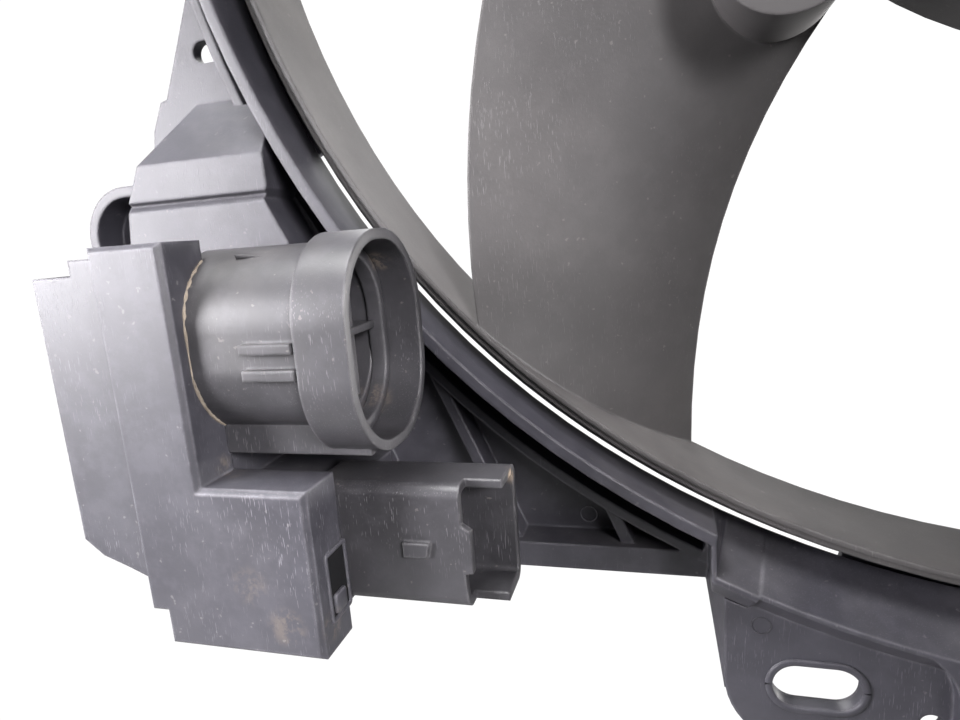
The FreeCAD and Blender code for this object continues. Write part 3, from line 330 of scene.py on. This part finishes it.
def metalWithWornHighlitEdges(name, look):
    g = Graph(name)
    lines = g.noise(*worked["lines"], at=g.stretch(look.get("lines", worked["turned"])))
    tone = g.mix(g.ramp(g.noise(*worked["cloud"]), *worked["cloudRange"]), look["dark"], look["light"])
    patch = g.ramp(g.noise(*worked["stain"], warp=worked["stainWarp"]), *worked["stainRange"])
    tone = g.mix(g.maths("MULTIPLY", patch, look["stain"]), tone, look["stainColour"])
    rounded = g.softEdge(worked["edge"])
    # rounded edges turn to the lightest colour: partly edge wear, partly a painted highlight along the edges
    edgeWearAndHighlight = g.maths("MULTIPLY", g.ramp(g.dot(rounded, g.flat()), *worked["wearAndHighlightEdge"]), worked["wearAndHighlightShare"])
    g.join(g.mix(edgeWearAndHighlight, tone, look["edgeWearAndHighlightColour"]), g.shader.inputs["Base Color"])
    smoother, rougher = worked["lineRough"]
    rough = g.ramp(lines, *worked["lineRange"], look["rough"] - smoother, look["rough"] + rougher)
    g.join(rough, g.shader.inputs["Roughness"])
    g.shader.inputs["Metallic"].default_value = look["metal"]
    g.join(g.bump(lines, worked["lineDepth"], worked["lineStrength"], rounded), g.shader.inputs["Normal"])
    return g.material


# edge and the stains' places are in millimetres, grainDepth in metres
# the scratch colour also goes on rounded edges, as edge wear and as a painted highlight
plastic = {
    "shroud": {"dark": (0.024, 0.023, 0.029), "light": (0.036, 0.035, 0.043), "bloom": (0.050, 0.048, 0.058),
               "rough": 0.46, "gloss": 0.5, "edge": 1.0, "wearAndHighlight": 0.25, "grain": 1500.0, "grainDepth": 0.00004,
               "scratch": 0.22, "scratchWearHighlightColour": (0.26, 0.25, 0.28), "dust": 0.04, "dustUp": 0.14,
               "specks": 0.22, "dustColour": (0.20, 0.19, 0.19)},
    "fan": {"dark": (0.046, 0.043, 0.043), "light": (0.056, 0.053, 0.053), "bloom": (0.064, 0.060, 0.060),
            "rough": 0.52, "gloss": 0.45, "edge": 0.8, "wearAndHighlight": 0.2, "grain": 1300.0, "grainDepth": 0.00004,
            "scratch": 0.16, "scratchWearHighlightColour": (0.26, 0.25, 0.25), "dust": 0.07, "dustUp": 0.08,
            "specks": 0.25, "dustColour": (0.20, 0.185, 0.175)},
    "module": {"dark": (0.032, 0.031, 0.038), "light": (0.050, 0.049, 0.058), "bloom": (0.072, 0.070, 0.082),
               "rough": 0.44, "gloss": 0.5, "edge": 0.9, "wearAndHighlight": 0.4, "grain": 1700.0, "grainDepth": 0.00004,
               "scratch": 0.5, "scratchWearHighlightColour": (0.30, 0.29, 0.32), "dust": 0.05, "dustUp": 0.16,
               "specks": 0.35, "dustColour": (0.22, 0.21, 0.21), "stainColour": (0.34, 0.27, 0.20),
               "stains": (((-168, -44, -186), 5, 0.16), ((-181, -36, -157), 3.5, 0.25),
                          ((-161, -40, -187), 4, 0.25), ((-175, -44, -178), 5, 0.10))},
    "socket": {"dark": (0.027, 0.026, 0.029), "light": (0.042, 0.041, 0.045), "bloom": (0.058, 0.056, 0.062),
               "rough": 0.42, "gloss": 0.5, "edge": 0.8, "wearAndHighlight": 0.3, "grain": 1500.0, "grainDepth": 0.00004,
               "scratch": 0.34, "scratchWearHighlightColour": (0.30, 0.29, 0.30), "dust": 0.06, "dustUp": 0.14,
               "specks": 0.3, "dustColour": (0.20, 0.185, 0.17), "stainColour": (0.44, 0.34, 0.25),
               "stains": (((-129.4, -19.5, -165.0), 3.0, 0.9), ((-156, -12, -119), 4, 0.3),
                          ((-160, -14, -150), 5, 0.2))},
    "brushCarbon": {"dark": (0.02, 0.02, 0.02), "light": (0.04, 0.04, 0.04), "bloom": (0.05, 0.05, 0.05),
                    "rough": 0.6, "gloss": 0.4, "edge": 0.3, "wearAndHighlight": 0.2, "grain": 900.0,
                    "grainDepth": 0.00005, "scratch": 0.1, "scratchWearHighlightColour": (0.2, 0.2, 0.2), "dust": 0.05,
                    "dustUp": 0.05, "specks": 0.1, "dustColour": (0.2, 0.2, 0.2)},
    "board": {"dark": (0.02, 0.10, 0.045), "light": (0.03, 0.15, 0.07), "bloom": (0.04, 0.17, 0.08),
              "rough": 0.4, "gloss": 0.5, "edge": 0.3, "wearAndHighlight": 0.1, "grain": 700.0, "grainDepth": 0.00003,
              "scratch": 0.1, "scratchWearHighlightColour": (0.3, 0.4, 0.3), "dust": 0.05, "dustUp": 0.1,
              "specks": 0.1, "dustColour": (0.3, 0.3, 0.28)},
    "seamDirt": {"dark": (0.10, 0.085, 0.07), "light": (0.30, 0.25, 0.20), "bloom": (0.36, 0.31, 0.25),
                 "rough": 0.8, "gloss": 0.2, "edge": 0.3, "wearAndHighlight": 0.1, "grain": 900.0, "grainDepth": 0.00008,
                 "scratch": 0.0, "scratchWearHighlightColour": (0.3, 0.3, 0.3), "dust": 0.2, "dustUp": 0.1,
                 "specks": 0.2, "dustColour": (0.42, 0.34, 0.25)},
    "shadowGap": {"dark": (0.006, 0.006, 0.007), "light": (0.010, 0.010, 0.011),
                  "bloom": (0.014, 0.013, 0.013), "rough": 0.8, "gloss": 0.15, "edge": 0.2, "wearAndHighlight": 0.0,
                  "grain": 900.0, "grainDepth": 0.00003, "scratch": 0.0, "scratchWearHighlightColour": (0.1, 0.1, 0.1),
                  "dust": 0.05, "dustUp": 0.1, "specks": 0.1, "dustColour": (0.10, 0.085, 0.07)},
}
# each metal's lightest colour goes on its rounded edges, as edge wear and as a painted highlight
metal = {
    "motorSteel": {"dark": (0.030, 0.030, 0.033), "light": (0.055, 0.055, 0.06), "edgeWearAndHighlightColour": (0.3, 0.3, 0.3),
                   "rough": 0.45, "metal": 0.15, "stain": 0.25, "stainColour": (0.16, 0.13, 0.10)},
    "shaftSteel": {"dark": (0.42, 0.42, 0.43), "light": (0.58, 0.58, 0.59), "edgeWearAndHighlightColour": (0.8, 0.8, 0.8),
                   "rough": 0.35, "metal": 1.0, "stain": 0.4, "stainColour": (0.25, 0.19, 0.14)},
    "bushBrass": {"dark": (0.5, 0.36, 0.14), "light": (0.66, 0.5, 0.24), "edgeWearAndHighlightColour": (0.85, 0.7, 0.4),
                  "rough": 0.38, "metal": 1.0, "stain": 0.3, "stainColour": (0.22, 0.17, 0.10)},
    "terminalTin": {"dark": (0.10, 0.095, 0.085), "light": (0.17, 0.16, 0.145), "edgeWearAndHighlightColour": (0.4, 0.38, 0.34),
                    "rough": 0.5, "metal": 0.8, "stain": 0.5, "stainColour": (0.07, 0.06, 0.05)},
    "coreIron": {"dark": (0.14, 0.14, 0.145), "light": (0.24, 0.24, 0.25), "edgeWearAndHighlightColour": (0.4, 0.4, 0.4),
                 "rough": 0.5, "metal": 0.9, "stain": 0.3, "stainColour": (0.12, 0.09, 0.07),
                 "lines": (0.1, 6.0, 0.1)},
}
finish = {name: mouldedPlastic(name + "Plastic", look) for name, look in plastic.items()}
finish.update({name: metalWithWornHighlitEdges(name, look) for name, look in metal.items()})
slotFinish = {"shroud_plastic": "shroud", "fan_plastic": "fan", "module_plastic": "module",
              "socket_plastic": "socket", "motor_steel": "motorSteel", "shaft_steel": "shaftSteel",
              "bush_brass": "bushBrass", "core_iron": "coreIron", "brush_carbon": "brushCarbon",
              "board_green": "board"}


def dressNodes():
    for part in frame["record"]["subparts"]:
        node = nodes[part["node"]]
        material = finish[slotFinish[part["material_slot"]]]
        if part["node"].startswith(("power_terminal", "signal_pin")):
            material = finish["terminalTin"]  # tinned over the brass that their slot names
        if not node.material_slots:
            node.data.materials.append(material)
        for place in node.material_slots:
            place.material = material


dressNodes()
print("materials on all nodes")

# the directions that a flat outline's width, height and thickness take on each side of the object
sides = {"front": ((1, 0, 0), (0, 0, 1), (0, -1, 0)), "back": ((-1, 0, 0), (0, 0, 1), (0, 1, 0)),
         "right": ((0, 1, 0), (0, 0, 1), (1, 0, 0)), "top": ((1, 0, 0), (0, 1, 0), (0, 0, 1))}
flush = 1e-6  # how near to a level a vertex counts as on it
leastFold = 0.6  # radians between two faces before their edge is rounded


def roundedFace(width, height, corner, segments):
    shape = bmesh.new()
    bmesh.ops.create_grid(shape, x_segments=1, y_segments=1, size=0.5)
    bmesh.ops.scale(shape, vec=(width, height, 1), verts=shape.verts)
    bmesh.ops.bevel(shape, geom=shape.verts[:], offset=corner, offset_type="OFFSET", segments=segments,
                    profile=0.5, material=-1, affect="VERTICES")
    return shape


def roundFace(radius, segments):
    shape = bmesh.new()
    bmesh.ops.create_circle(shape, cap_ends=True, radius=radius, segments=segments)
    return shape


def hollow(shape, wall):
    middle = shape.faces[:]
    bmesh.ops.inset_region(shape, faces=middle, thickness=wall, use_boundary=True, use_even_offset=True)
    bmesh.ops.delete(shape, geom=middle, context="FACES_ONLY")


def thicken(shape, depth, rim=0.0, segments=2):
    made = bmesh.ops.extrude_face_region(shape, geom=shape.faces[:])
    lifted = [item for item in made["geom"] if isinstance(item, bmesh.types.BMVert)]
    bmesh.ops.translate(shape, vec=(0, 0, depth), verts=lifted)
    bmesh.ops.recalc_face_normals(shape, faces=shape.faces)
    if rim:
        top = [edge for edge in shape.edges
               if len(edge.link_faces) == 2 and edge.calc_face_angle(0.0) > leastFold
               and all(abs(vert.co.z - depth) < flush for vert in edge.verts)]
        bmesh.ops.bevel(shape, geom=top, offset=rim, offset_type="OFFSET", segments=segments, profile=0.5,
                        material=-1, affect="EDGES", clamp_overlap=True)


def stand(shape, side, place):
    axes = Matrix([Vector(axis) for axis in sides[side]]).transposed().to_4x4()
    bmesh.ops.transform(shape, matrix=Matrix.Translation(place) @ axes, verts=shape.verts)


def turned(shape, angle):
    bmesh.ops.transform(shape, matrix=Matrix.Rotation(angle, 4, "Y"), verts=shape.verts)


def gather(shapes):
    whole = bmesh.new()
    for shape in shapes:
        part = bpy.data.meshes.new("part")
        shape.to_mesh(part)
        shape.free()
        whole.from_mesh(part)
        bpy.data.meshes.remove(part)
    return whole


def addPiece(name, shape, look, body, sharp=38.0):
    if not shape.faces:
        raise ValueError(name + " has no faces")  # an empty piece would otherwise pass unseen
    bmesh.ops.scale(shape, vec=(mm, mm, mm), verts=shape.verts)
    bmesh.ops.recalc_face_normals(shape, faces=shape.faces)
    for face in shape.faces:
        face.smooth = True
    for edge in shape.edges:
        edge.smooth = len(edge.link_faces) == 2 and edge.calc_face_angle(0.0) < math.radians(sharp)
    mesh = bpy.data.meshes.new(name)
    shape.to_mesh(mesh)
    shape.free()
    mesh.materials.append(finish[look])
    piece = bpy.data.objects.new(name, mesh)
    scene.collection.objects.link(piece)
    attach(piece, body)
    return piece


# radii and depths where lip, flare and gutter meet a foot; angles are degrees from straight down
lipEnd = {"lipAngle": 26.05, "flareAngle": 22.4, "lip": 203.0, "flare": 211.95, "front": -4.0,
          "throat": (203.4, 12.2), "footSide": 90.4, "land": 213.3, "wall": 216.8, "rear": 17.0,
          "setback": 2.4, "leastWall": 1.0, "leastDrop": 0.2, "lean": 0.9, "tuck": (2.0, 2.2), "stations": 20}
lipTrim = {"profile": ((201.4, -6.0), (217.4, -6.0), (217.4, 9.3), (207.4, 9.3), (204.2, 11.6),
                       (201.4, 11.6)),
           "steps": 8, "margin": 0.02, "nodeWeld": 1e-6, "weld": 0.002, "sharp": 32.0}
fourEnds = ((1, 1), (-1, 1), (1, -1), (-1, -1))


def nodeCopy(name):
    shape = bmesh.new()
    shape.from_mesh(nodes[name].data)
    bmesh.ops.remove_doubles(shape, verts=shape.verts, dist=lipTrim["nodeWeld"])
    bmesh.ops.scale(shape, vec=(1 / mm, 1 / mm, 1 / mm), verts=shape.verts)
    return shape


def trimBlock():
    start = math.radians(90 + lipEnd["flareAngle"] + lipTrim["margin"])
    stop = math.radians(90 + lipEnd["lipAngle"] - lipTrim["margin"])
    shape = bmesh.new()
    ring = [shape.verts.new((radius, y, 0)) for radius, y in lipTrim["profile"]]
    face = shape.faces.new(ring)
    bmesh.ops.rotate(shape, verts=ring, cent=(0, 0, 0), matrix=Matrix.Rotation(start, 3, "Y"))
    bmesh.ops.spin(shape, geom=ring + list(face.edges) + [face], cent=(0, 0, 0), axis=(0, 1, 0),
                   angle=stop - start, steps=lipTrim["steps"])
    bmesh.ops.recalc_face_normals(shape, faces=shape.faces)
    return shape


def cornerProfile(share, angle):
    throat, front, land = lipEnd["throat"], lipEnd["front"], lipEnd["land"]
    reach = lipEnd["footSide"] / abs(math.cos(angle))  # radius at which this angle meets the foot's side
    inner = lipEnd["lip"]
    if share:
        inner = min(lipEnd["flare"], max(lipEnd["lip"], reach - lipEnd["setback"]))
    outer = max(min(lipEnd["wall"], reach), inner + lipEnd["leastWall"])
    drop = max(lipEnd["leastDrop"], (outer - land) * lipEnd["lean"])
    return (throat, (inner, front), (min(outer, land), front), (outer, front + drop), (outer, lipEnd["rear"]),
            (throat[0] + lipEnd["tuck"][0], throat[1] + lipEnd["tuck"][1]))


def cornerBlock():
    shape = bmesh.new()
    last = []
    for k in range(lipEnd["stations"] + 1):
        share = k / lipEnd["stations"]
        angle = math.radians(90 + lipEnd["lipAngle"] - (lipEnd["lipAngle"] - lipEnd["flareAngle"]) * share)
        ring = [shape.verts.new((radius * math.cos(angle), y, -radius * math.sin(angle)))
                for radius, y in cornerProfile(share, angle)]
        if last:
            for corners in zip(last, last[1:] + last[:1], ring[1:] + ring[:1], ring):
                shape.faces.new(corners)
        else:
            shape.faces.new(ring)
        last = ring
    shape.faces.new(last)
    bmesh.ops.recalc_face_normals(shape, faces=shape.faces)
    return shape


def atFourEnds(makeBlock):
    blocks = []
    for signX, signZ in fourEnds:
        shape = makeBlock()
        bmesh.ops.scale(shape, vec=(signX, 1, signZ), verts=shape.verts)
        bmesh.ops.recalc_face_normals(shape, faces=shape.faces)
        blocks.append(shape)
    return gather(blocks)


def bareObject(name, shape):
    mesh = bpy.data.meshes.new(name)
    shape.to_mesh(mesh)
    shape.free()
    item = bpy.data.objects.new(name, mesh)
    scene.collection.objects.link(item)
    return item


def carve(target, tool, kind):
    step = target.modifiers.new("step", "BOOLEAN")
    step.operation = kind
    step.solver = "EXACT"
    step.object = tool
    result = bpy.data.meshes.new_from_object(target.evaluated_get(bpy.context.evaluated_depsgraph_get()))
    target.modifiers.clear()
    before, spare = target.data, tool.data
    target.data = result
    bpy.data.objects.remove(tool)
    bpy.data.meshes.remove(before)
    bpy.data.meshes.remove(spare)


def buildShroudSkin():
    skin = bareObject("shroudSkin", nodeCopy("shroud_frame"))
    carve(skin, bareObject("lipTrim", atFourEnds(trimBlock)), "DIFFERENCE")
    carve(skin, bareObject("lipCorners", atFourEnds(cornerBlock)), "UNION")
    shape = bmesh.new()
    shape.from_mesh(skin.data)
    spare = skin.data
    bpy.data.objects.remove(skin)
    bpy.data.meshes.remove(spare)
    bmesh.ops.remove_doubles(shape, verts=shape.verts, dist=lipTrim["weld"])
    bmesh.ops.dissolve_degenerate(shape, edges=shape.edges, dist=lipTrim["weld"])
    openEdges = sum(1 for edge in shape.edges if len(edge.link_faces) != 2)
    print("shroud skin faces", len(shape.faces), "open edges", openEdges)
    piece = addPiece("shroudSkin", shape, "shroud", "shroud", lipTrim["sharp"])
    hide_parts("shroud_frame")


buildShroudSkin()

slotRim = {"x": 68.7, "z": 219.0, "width": 18.0, "height": 10.2, "wall": 1.5, "proud": 0.35, "lug": 3.3,
           "sink": 0.2, "cornerGap": 0.02, "cornerSteps": 10, "round": 0.25}


def buildSlotRims():
    width, height = slotRim["width"] + 2 * slotRim["wall"], slotRim["height"] + 2 * slotRim["wall"]
    corner = slotRim["height"] / 2 + slotRim["wall"] - slotRim["cornerGap"]
    for side, y in (("front", slotRim["sink"]), ("back", slotRim["lug"] - slotRim["sink"])):
        rims = []
        for x in (-slotRim["x"], slotRim["x"]):
            for z in (-slotRim["z"], slotRim["z"]):
                rim = roundedFace(width, height, corner, slotRim["cornerSteps"])
                hollow(rim, slotRim["wall"])
                thicken(rim, slotRim["proud"] + slotRim["sink"], slotRim["round"])
                stand(rim, side, (x, y, z))
                rims.append(rim)
        addPiece("slotRims_" + side, gather(rims), "shroud", "shroud")


buildSlotRims()
print("slot rims built")

bore = {"y": -24.7, "z": -134.9, "ledgeFar": -160.4, "ledgeNear": -157.0, "half": (15.5, 18.9), "wall": 2.3,
        "cornerGap": 1.2, "cornerSteps": 14, "ledgeRound": 0.4,
        "neckZ": -133.6, "webFar": -182.0, "webNear": -159.0, "webThick": 1.5, "webShort": 3.4,
        "webCorner": 0.6, "webCornerSteps": 2, "webRound": 0.3}
gusset = {"x": -167.0, "behind": 5.0, "lift": 15.6, "inward": 1.2, "thick": 5.0, "thin": 1.4, "long": 16.0,
          "turn": 30.0}


def buildLedge():
    ledge = roundedFace(2 * bore["half"][0], 2 * bore["half"][1], bore["half"][0] - bore["cornerGap"],
                        bore["cornerSteps"])
    hollow(ledge, bore["wall"])
    thicken(ledge, bore["ledgeNear"] - bore["ledgeFar"], bore["ledgeRound"])
    stand(ledge, "right", (bore["ledgeFar"], bore["y"], bore["z"]))
    addPiece("boreLedge", ledge, "socket", "shroud")


def buildWeb():
    web = roundedFace(bore["webNear"] - bore["webFar"], 2 * bore["half"][0] - bore["webShort"],
                      bore["webCorner"], bore["webCornerSteps"])
    thicken(web, bore["webThick"], bore["webRound"])
    middle = (bore["webNear"] + bore["webFar"]) / 2
    stand(web, "top", (middle, bore["y"], bore["neckZ"] - bore["webThick"] / 2))
    addPiece("boreWeb", web, "socket", "shroud")


def buildGussets():
    gussets = []
    alongX = Matrix.Rotation(math.radians(90), 4, "Y")
    alongX = alongX @ Matrix.Rotation(math.radians(gusset["turn"]), 4, "Z")
    for end in (-1, 1):
        shape = bmesh.new()
        bmesh.ops.create_cone(shape, cap_ends=True, segments=3, radius1=gusset["thick"],
                              radius2=gusset["thin"], depth=gusset["long"])
        place = (gusset["x"], bore["y"] - gusset["behind"],
                 bore["neckZ"] + end * gusset["lift"] - end * gusset["inward"])
        bmesh.ops.transform(shape, matrix=Matrix.Translation(place) @ alongX, verts=shape.verts)
        gussets.append(shape)
    addPiece("boreGussets", gather(gussets), "socket", "shroud")


buildLedge()
buildWeb()
buildGussets()
print("power socket's inside built")

seam = {"x": -182.9, "y": -24.7, "z": -133.6, "half": (16.0, 18.1), "spare": 0.5, "cornerGap": 1.0,
        "cornerSteps": 14, "wide": 0.75, "round": 0.3, "sink": 0.35, "frontY": -33.2,
        "waves": (((2.1, 1.3), 1.0), ((-1.0, 3.7), 0.6)), "rise": 0.16, "riseFrom": 0.3, "sway": 0.006}


def buildNeckSeam():
    outline = roundedFace(2 * seam["half"][0] + seam["spare"], 2 * seam["half"][1] + seam["spare"],
                          seam["half"][0] - seam["cornerGap"], seam["cornerSteps"])
    hollow(outline, seam["wide"])
    thicken(outline, seam["wide"], seam["round"])
    bmesh.ops.subdivide_edges(outline, edges=outline.edges[:], cuts=1, use_grid_fill=True)
    # the bead's outline sways everywhere, and its height varies only above its foot
    for vert in outline.verts:
        wave = sum(math.sin(vert.co.x * a + vert.co.y * b) * share for (a, b), share in seam["waves"])
        if vert.co.z > seam["riseFrom"]:
            vert.co.z += seam["rise"] * wave
        vert.co.x *= 1 + seam["sway"] * wave
    stand(outline, "right", (seam["x"] - seam["sink"], seam["y"], seam["z"]))
    bmesh.ops.bisect_plane(outline, geom=outline.verts[:] + outline.edges[:] + outline.faces[:],
                           plane_co=(0, seam["frontY"], 0), plane_no=(0, 1, 0), clear_outer=True)
    addPiece("neckSeamDirt", outline, "seamDirt", "shroud")


buildNeckSeam()

latch = {"x": -160.8, "y": -36.2, "z": -180.0, "width": 6.4, "height": 12.5, "frame": 0.9, "proud": 0.45,
         "sink": 0.3, "corner": 1.0, "cornerSteps": 4, "round": 0.25, "pocketCorner": 0.4,
         "pocketDepth": 0.35}
hook = {"narrower": 2.2, "height": 4.0, "corner": 0.6, "cornerSteps": 3, "proud": 0.95, "round": 0.35,
        "sink": 0.2, "shift": (-0.4, -3.8)}


def buildCoverLatch():
    base = (latch["x"] - latch["sink"], latch["y"], latch["z"])
    rim = roundedFace(latch["width"] + 2 * latch["frame"], latch["height"] + 2 * latch["frame"],
                      latch["corner"], latch["cornerSteps"])
    hollow(rim, latch["frame"])
    thicken(rim, latch["proud"] + latch["sink"], latch["round"])
    stand(rim, "right", base)
    addPiece("coverLatchFrame", rim, "module", "shroud")
    pocket = roundedFace(latch["width"], latch["height"], latch["pocketCorner"], hook["cornerSteps"])
    thicken(pocket, latch["pocketDepth"])
    stand(pocket, "right", base)
    addPiece("coverLatchPocket", pocket, "shadowGap", "shroud")
    catch = roundedFace(latch["width"] - hook["narrower"], hook["height"], hook["corner"],
                        hook["cornerSteps"])
    thicken(catch, hook["proud"], hook["round"])
    stand(catch, "right", (latch["x"] - hook["sink"], latch["y"] + hook["shift"][0],
                           latch["z"] + hook["shift"][1]))
    addPiece("coverLatchHook", catch, "module", "shroud")


buildCoverLatch()
print("module's seam and latch built")

ejector = {"radius": 2.1, "proud": 0.12, "sink": 0.1, "wall": 0.25, "segments": 28,
           "places": ((-200, 11.5, -150), (-150, 11.5, -178), (-118, 11.5, -186), (-30, 0, -226),
                      (30, 0, -226), (-30, 0, 226), (30, 0, 226), (-80, 0, -205), (80, 0, -205))}


def buildEjectorMarks():
    marks = []
    for x, y, z in ejector["places"]:
        mark = roundFace(ejector["radius"], ejector["segments"])
        hollow(mark, ejector["wall"])
        thicken(mark, ejector["proud"] + ejector["sink"])
        stand(mark, "front", (x, y + ejector["sink"], z))
        marks.append(mark)
    addPiece("ejectorMarks", gather(marks), "shroud", "shroud")


buildEjectorMarks()
print("ejector marks built")

hubRib = {"count": 12, "first": 15.0, "near": 52.0, "far": 88.6, "front": -2.6, "back": 20.0, "thick": 1.6,
          "corner": 1.0, "cornerSteps": 2, "round": 0.3, "slope": (8.0, -9.0, 0.0)}


def buildHub():
    ribs = []
    for k in range(hubRib["count"]):
        rib = roundedFace(hubRib["far"] - hubRib["near"], hubRib["back"] - hubRib["front"], hubRib["corner"],
                          hubRib["cornerSteps"])
        inner = [vert for vert in rib.verts if vert.co.x < 0 and vert.co.y > 0]
        bmesh.ops.translate(rib, vec=hubRib["slope"], verts=inner)  # a rib is lower towards the motor
        thicken(rib, hubRib["thick"], hubRib["round"], 1)
        middle = ((hubRib["far"] + hubRib["near"]) / 2, (hubRib["back"] + hubRib["front"]) / 2,
                  -hubRib["thick"] / 2)
        bmesh.ops.translate(rib, vec=middle, verts=rib.verts)
        turned(rib, math.radians(hubRib["first"] + 360 / hubRib["count"] * k))
        ribs.append(rib)
    addPiece("hubRibs", gather(ribs), "fan", "fan_rotor")


buildHub()
print("hub ribs built")

can = {"rear": 63.0, "radius": 50.0, "beads": (24.0, 52.0), "bead": 0.7, "beadSides": 10, "beadSteps": 96,
       "vents": 6, "ventRadius": 33.0, "ventSize": (5.0, 11.0), "ventCorner": 2.4, "ventCornerSteps": 6,
       "ventThick": 0.3, "rivets": 4, "rivetRadius": 42.0, "rivet": 2.4, "rivetFlat": 0.5,
       "rivetSides": 20, "rivetSteps": 10, "weld": 0.001}


def buildBeads():
    beads = []
    for y in can["beads"]:
        bead = bmesh.new()
        bmesh.ops.create_circle(bead, radius=can["bead"], segments=can["beadSides"])
        bmesh.ops.translate(bead, vec=(can["radius"], y, 0), verts=bead.verts)
        bmesh.ops.spin(bead, geom=bead.verts[:] + bead.edges[:], cent=(0, 0, 0), axis=(0, 1, 0),
                       angle=math.tau, steps=can["beadSteps"], use_merge=True)
        bmesh.ops.remove_doubles(bead, verts=bead.verts, dist=can["weld"])
        beads.append(bead)
    addPiece("canBeads", gather(beads), "motorSteel", "shroud")


def buildVents():
    vents = []
    for k in range(can["vents"]):
        vent = roundedFace(*can["ventSize"], can["ventCorner"], can["ventCornerSteps"])
        thicken(vent, can["ventThick"])
        stand(vent, "back", (0, can["rear"] - can["ventThick"] / 2, 0))
        bmesh.ops.translate(vent, vec=(0, 0, can["ventRadius"]), verts=vent.verts)
        turned(vent, math.tau * (k + 0.5) / can["vents"])
        vents.append(vent)
    addPiece("canVents", gather(vents), "shadowGap", "shroud")


def buildRivets():
    rivets = []
    for k in range(can["rivets"]):
        rivet = bmesh.new()
        bmesh.ops.create_uvsphere(rivet, u_segments=can["rivetSides"], v_segments=can["rivetSteps"],
                                  radius=can["rivet"])
        bmesh.ops.scale(rivet, vec=(1, can["rivetFlat"], 1), verts=rivet.verts)
        bmesh.ops.translate(rivet, vec=(can["rivetRadius"], can["rear"], 0), verts=rivet.verts)
        turned(rivet, math.tau * (k + 0.5) / can["rivets"])
        rivets.append(rivet)
    addPiece("canRivets", gather(rivets), "shaftSteel", "shroud")


buildBeads()
buildVents()
buildRivets()
print("motor can's details built")
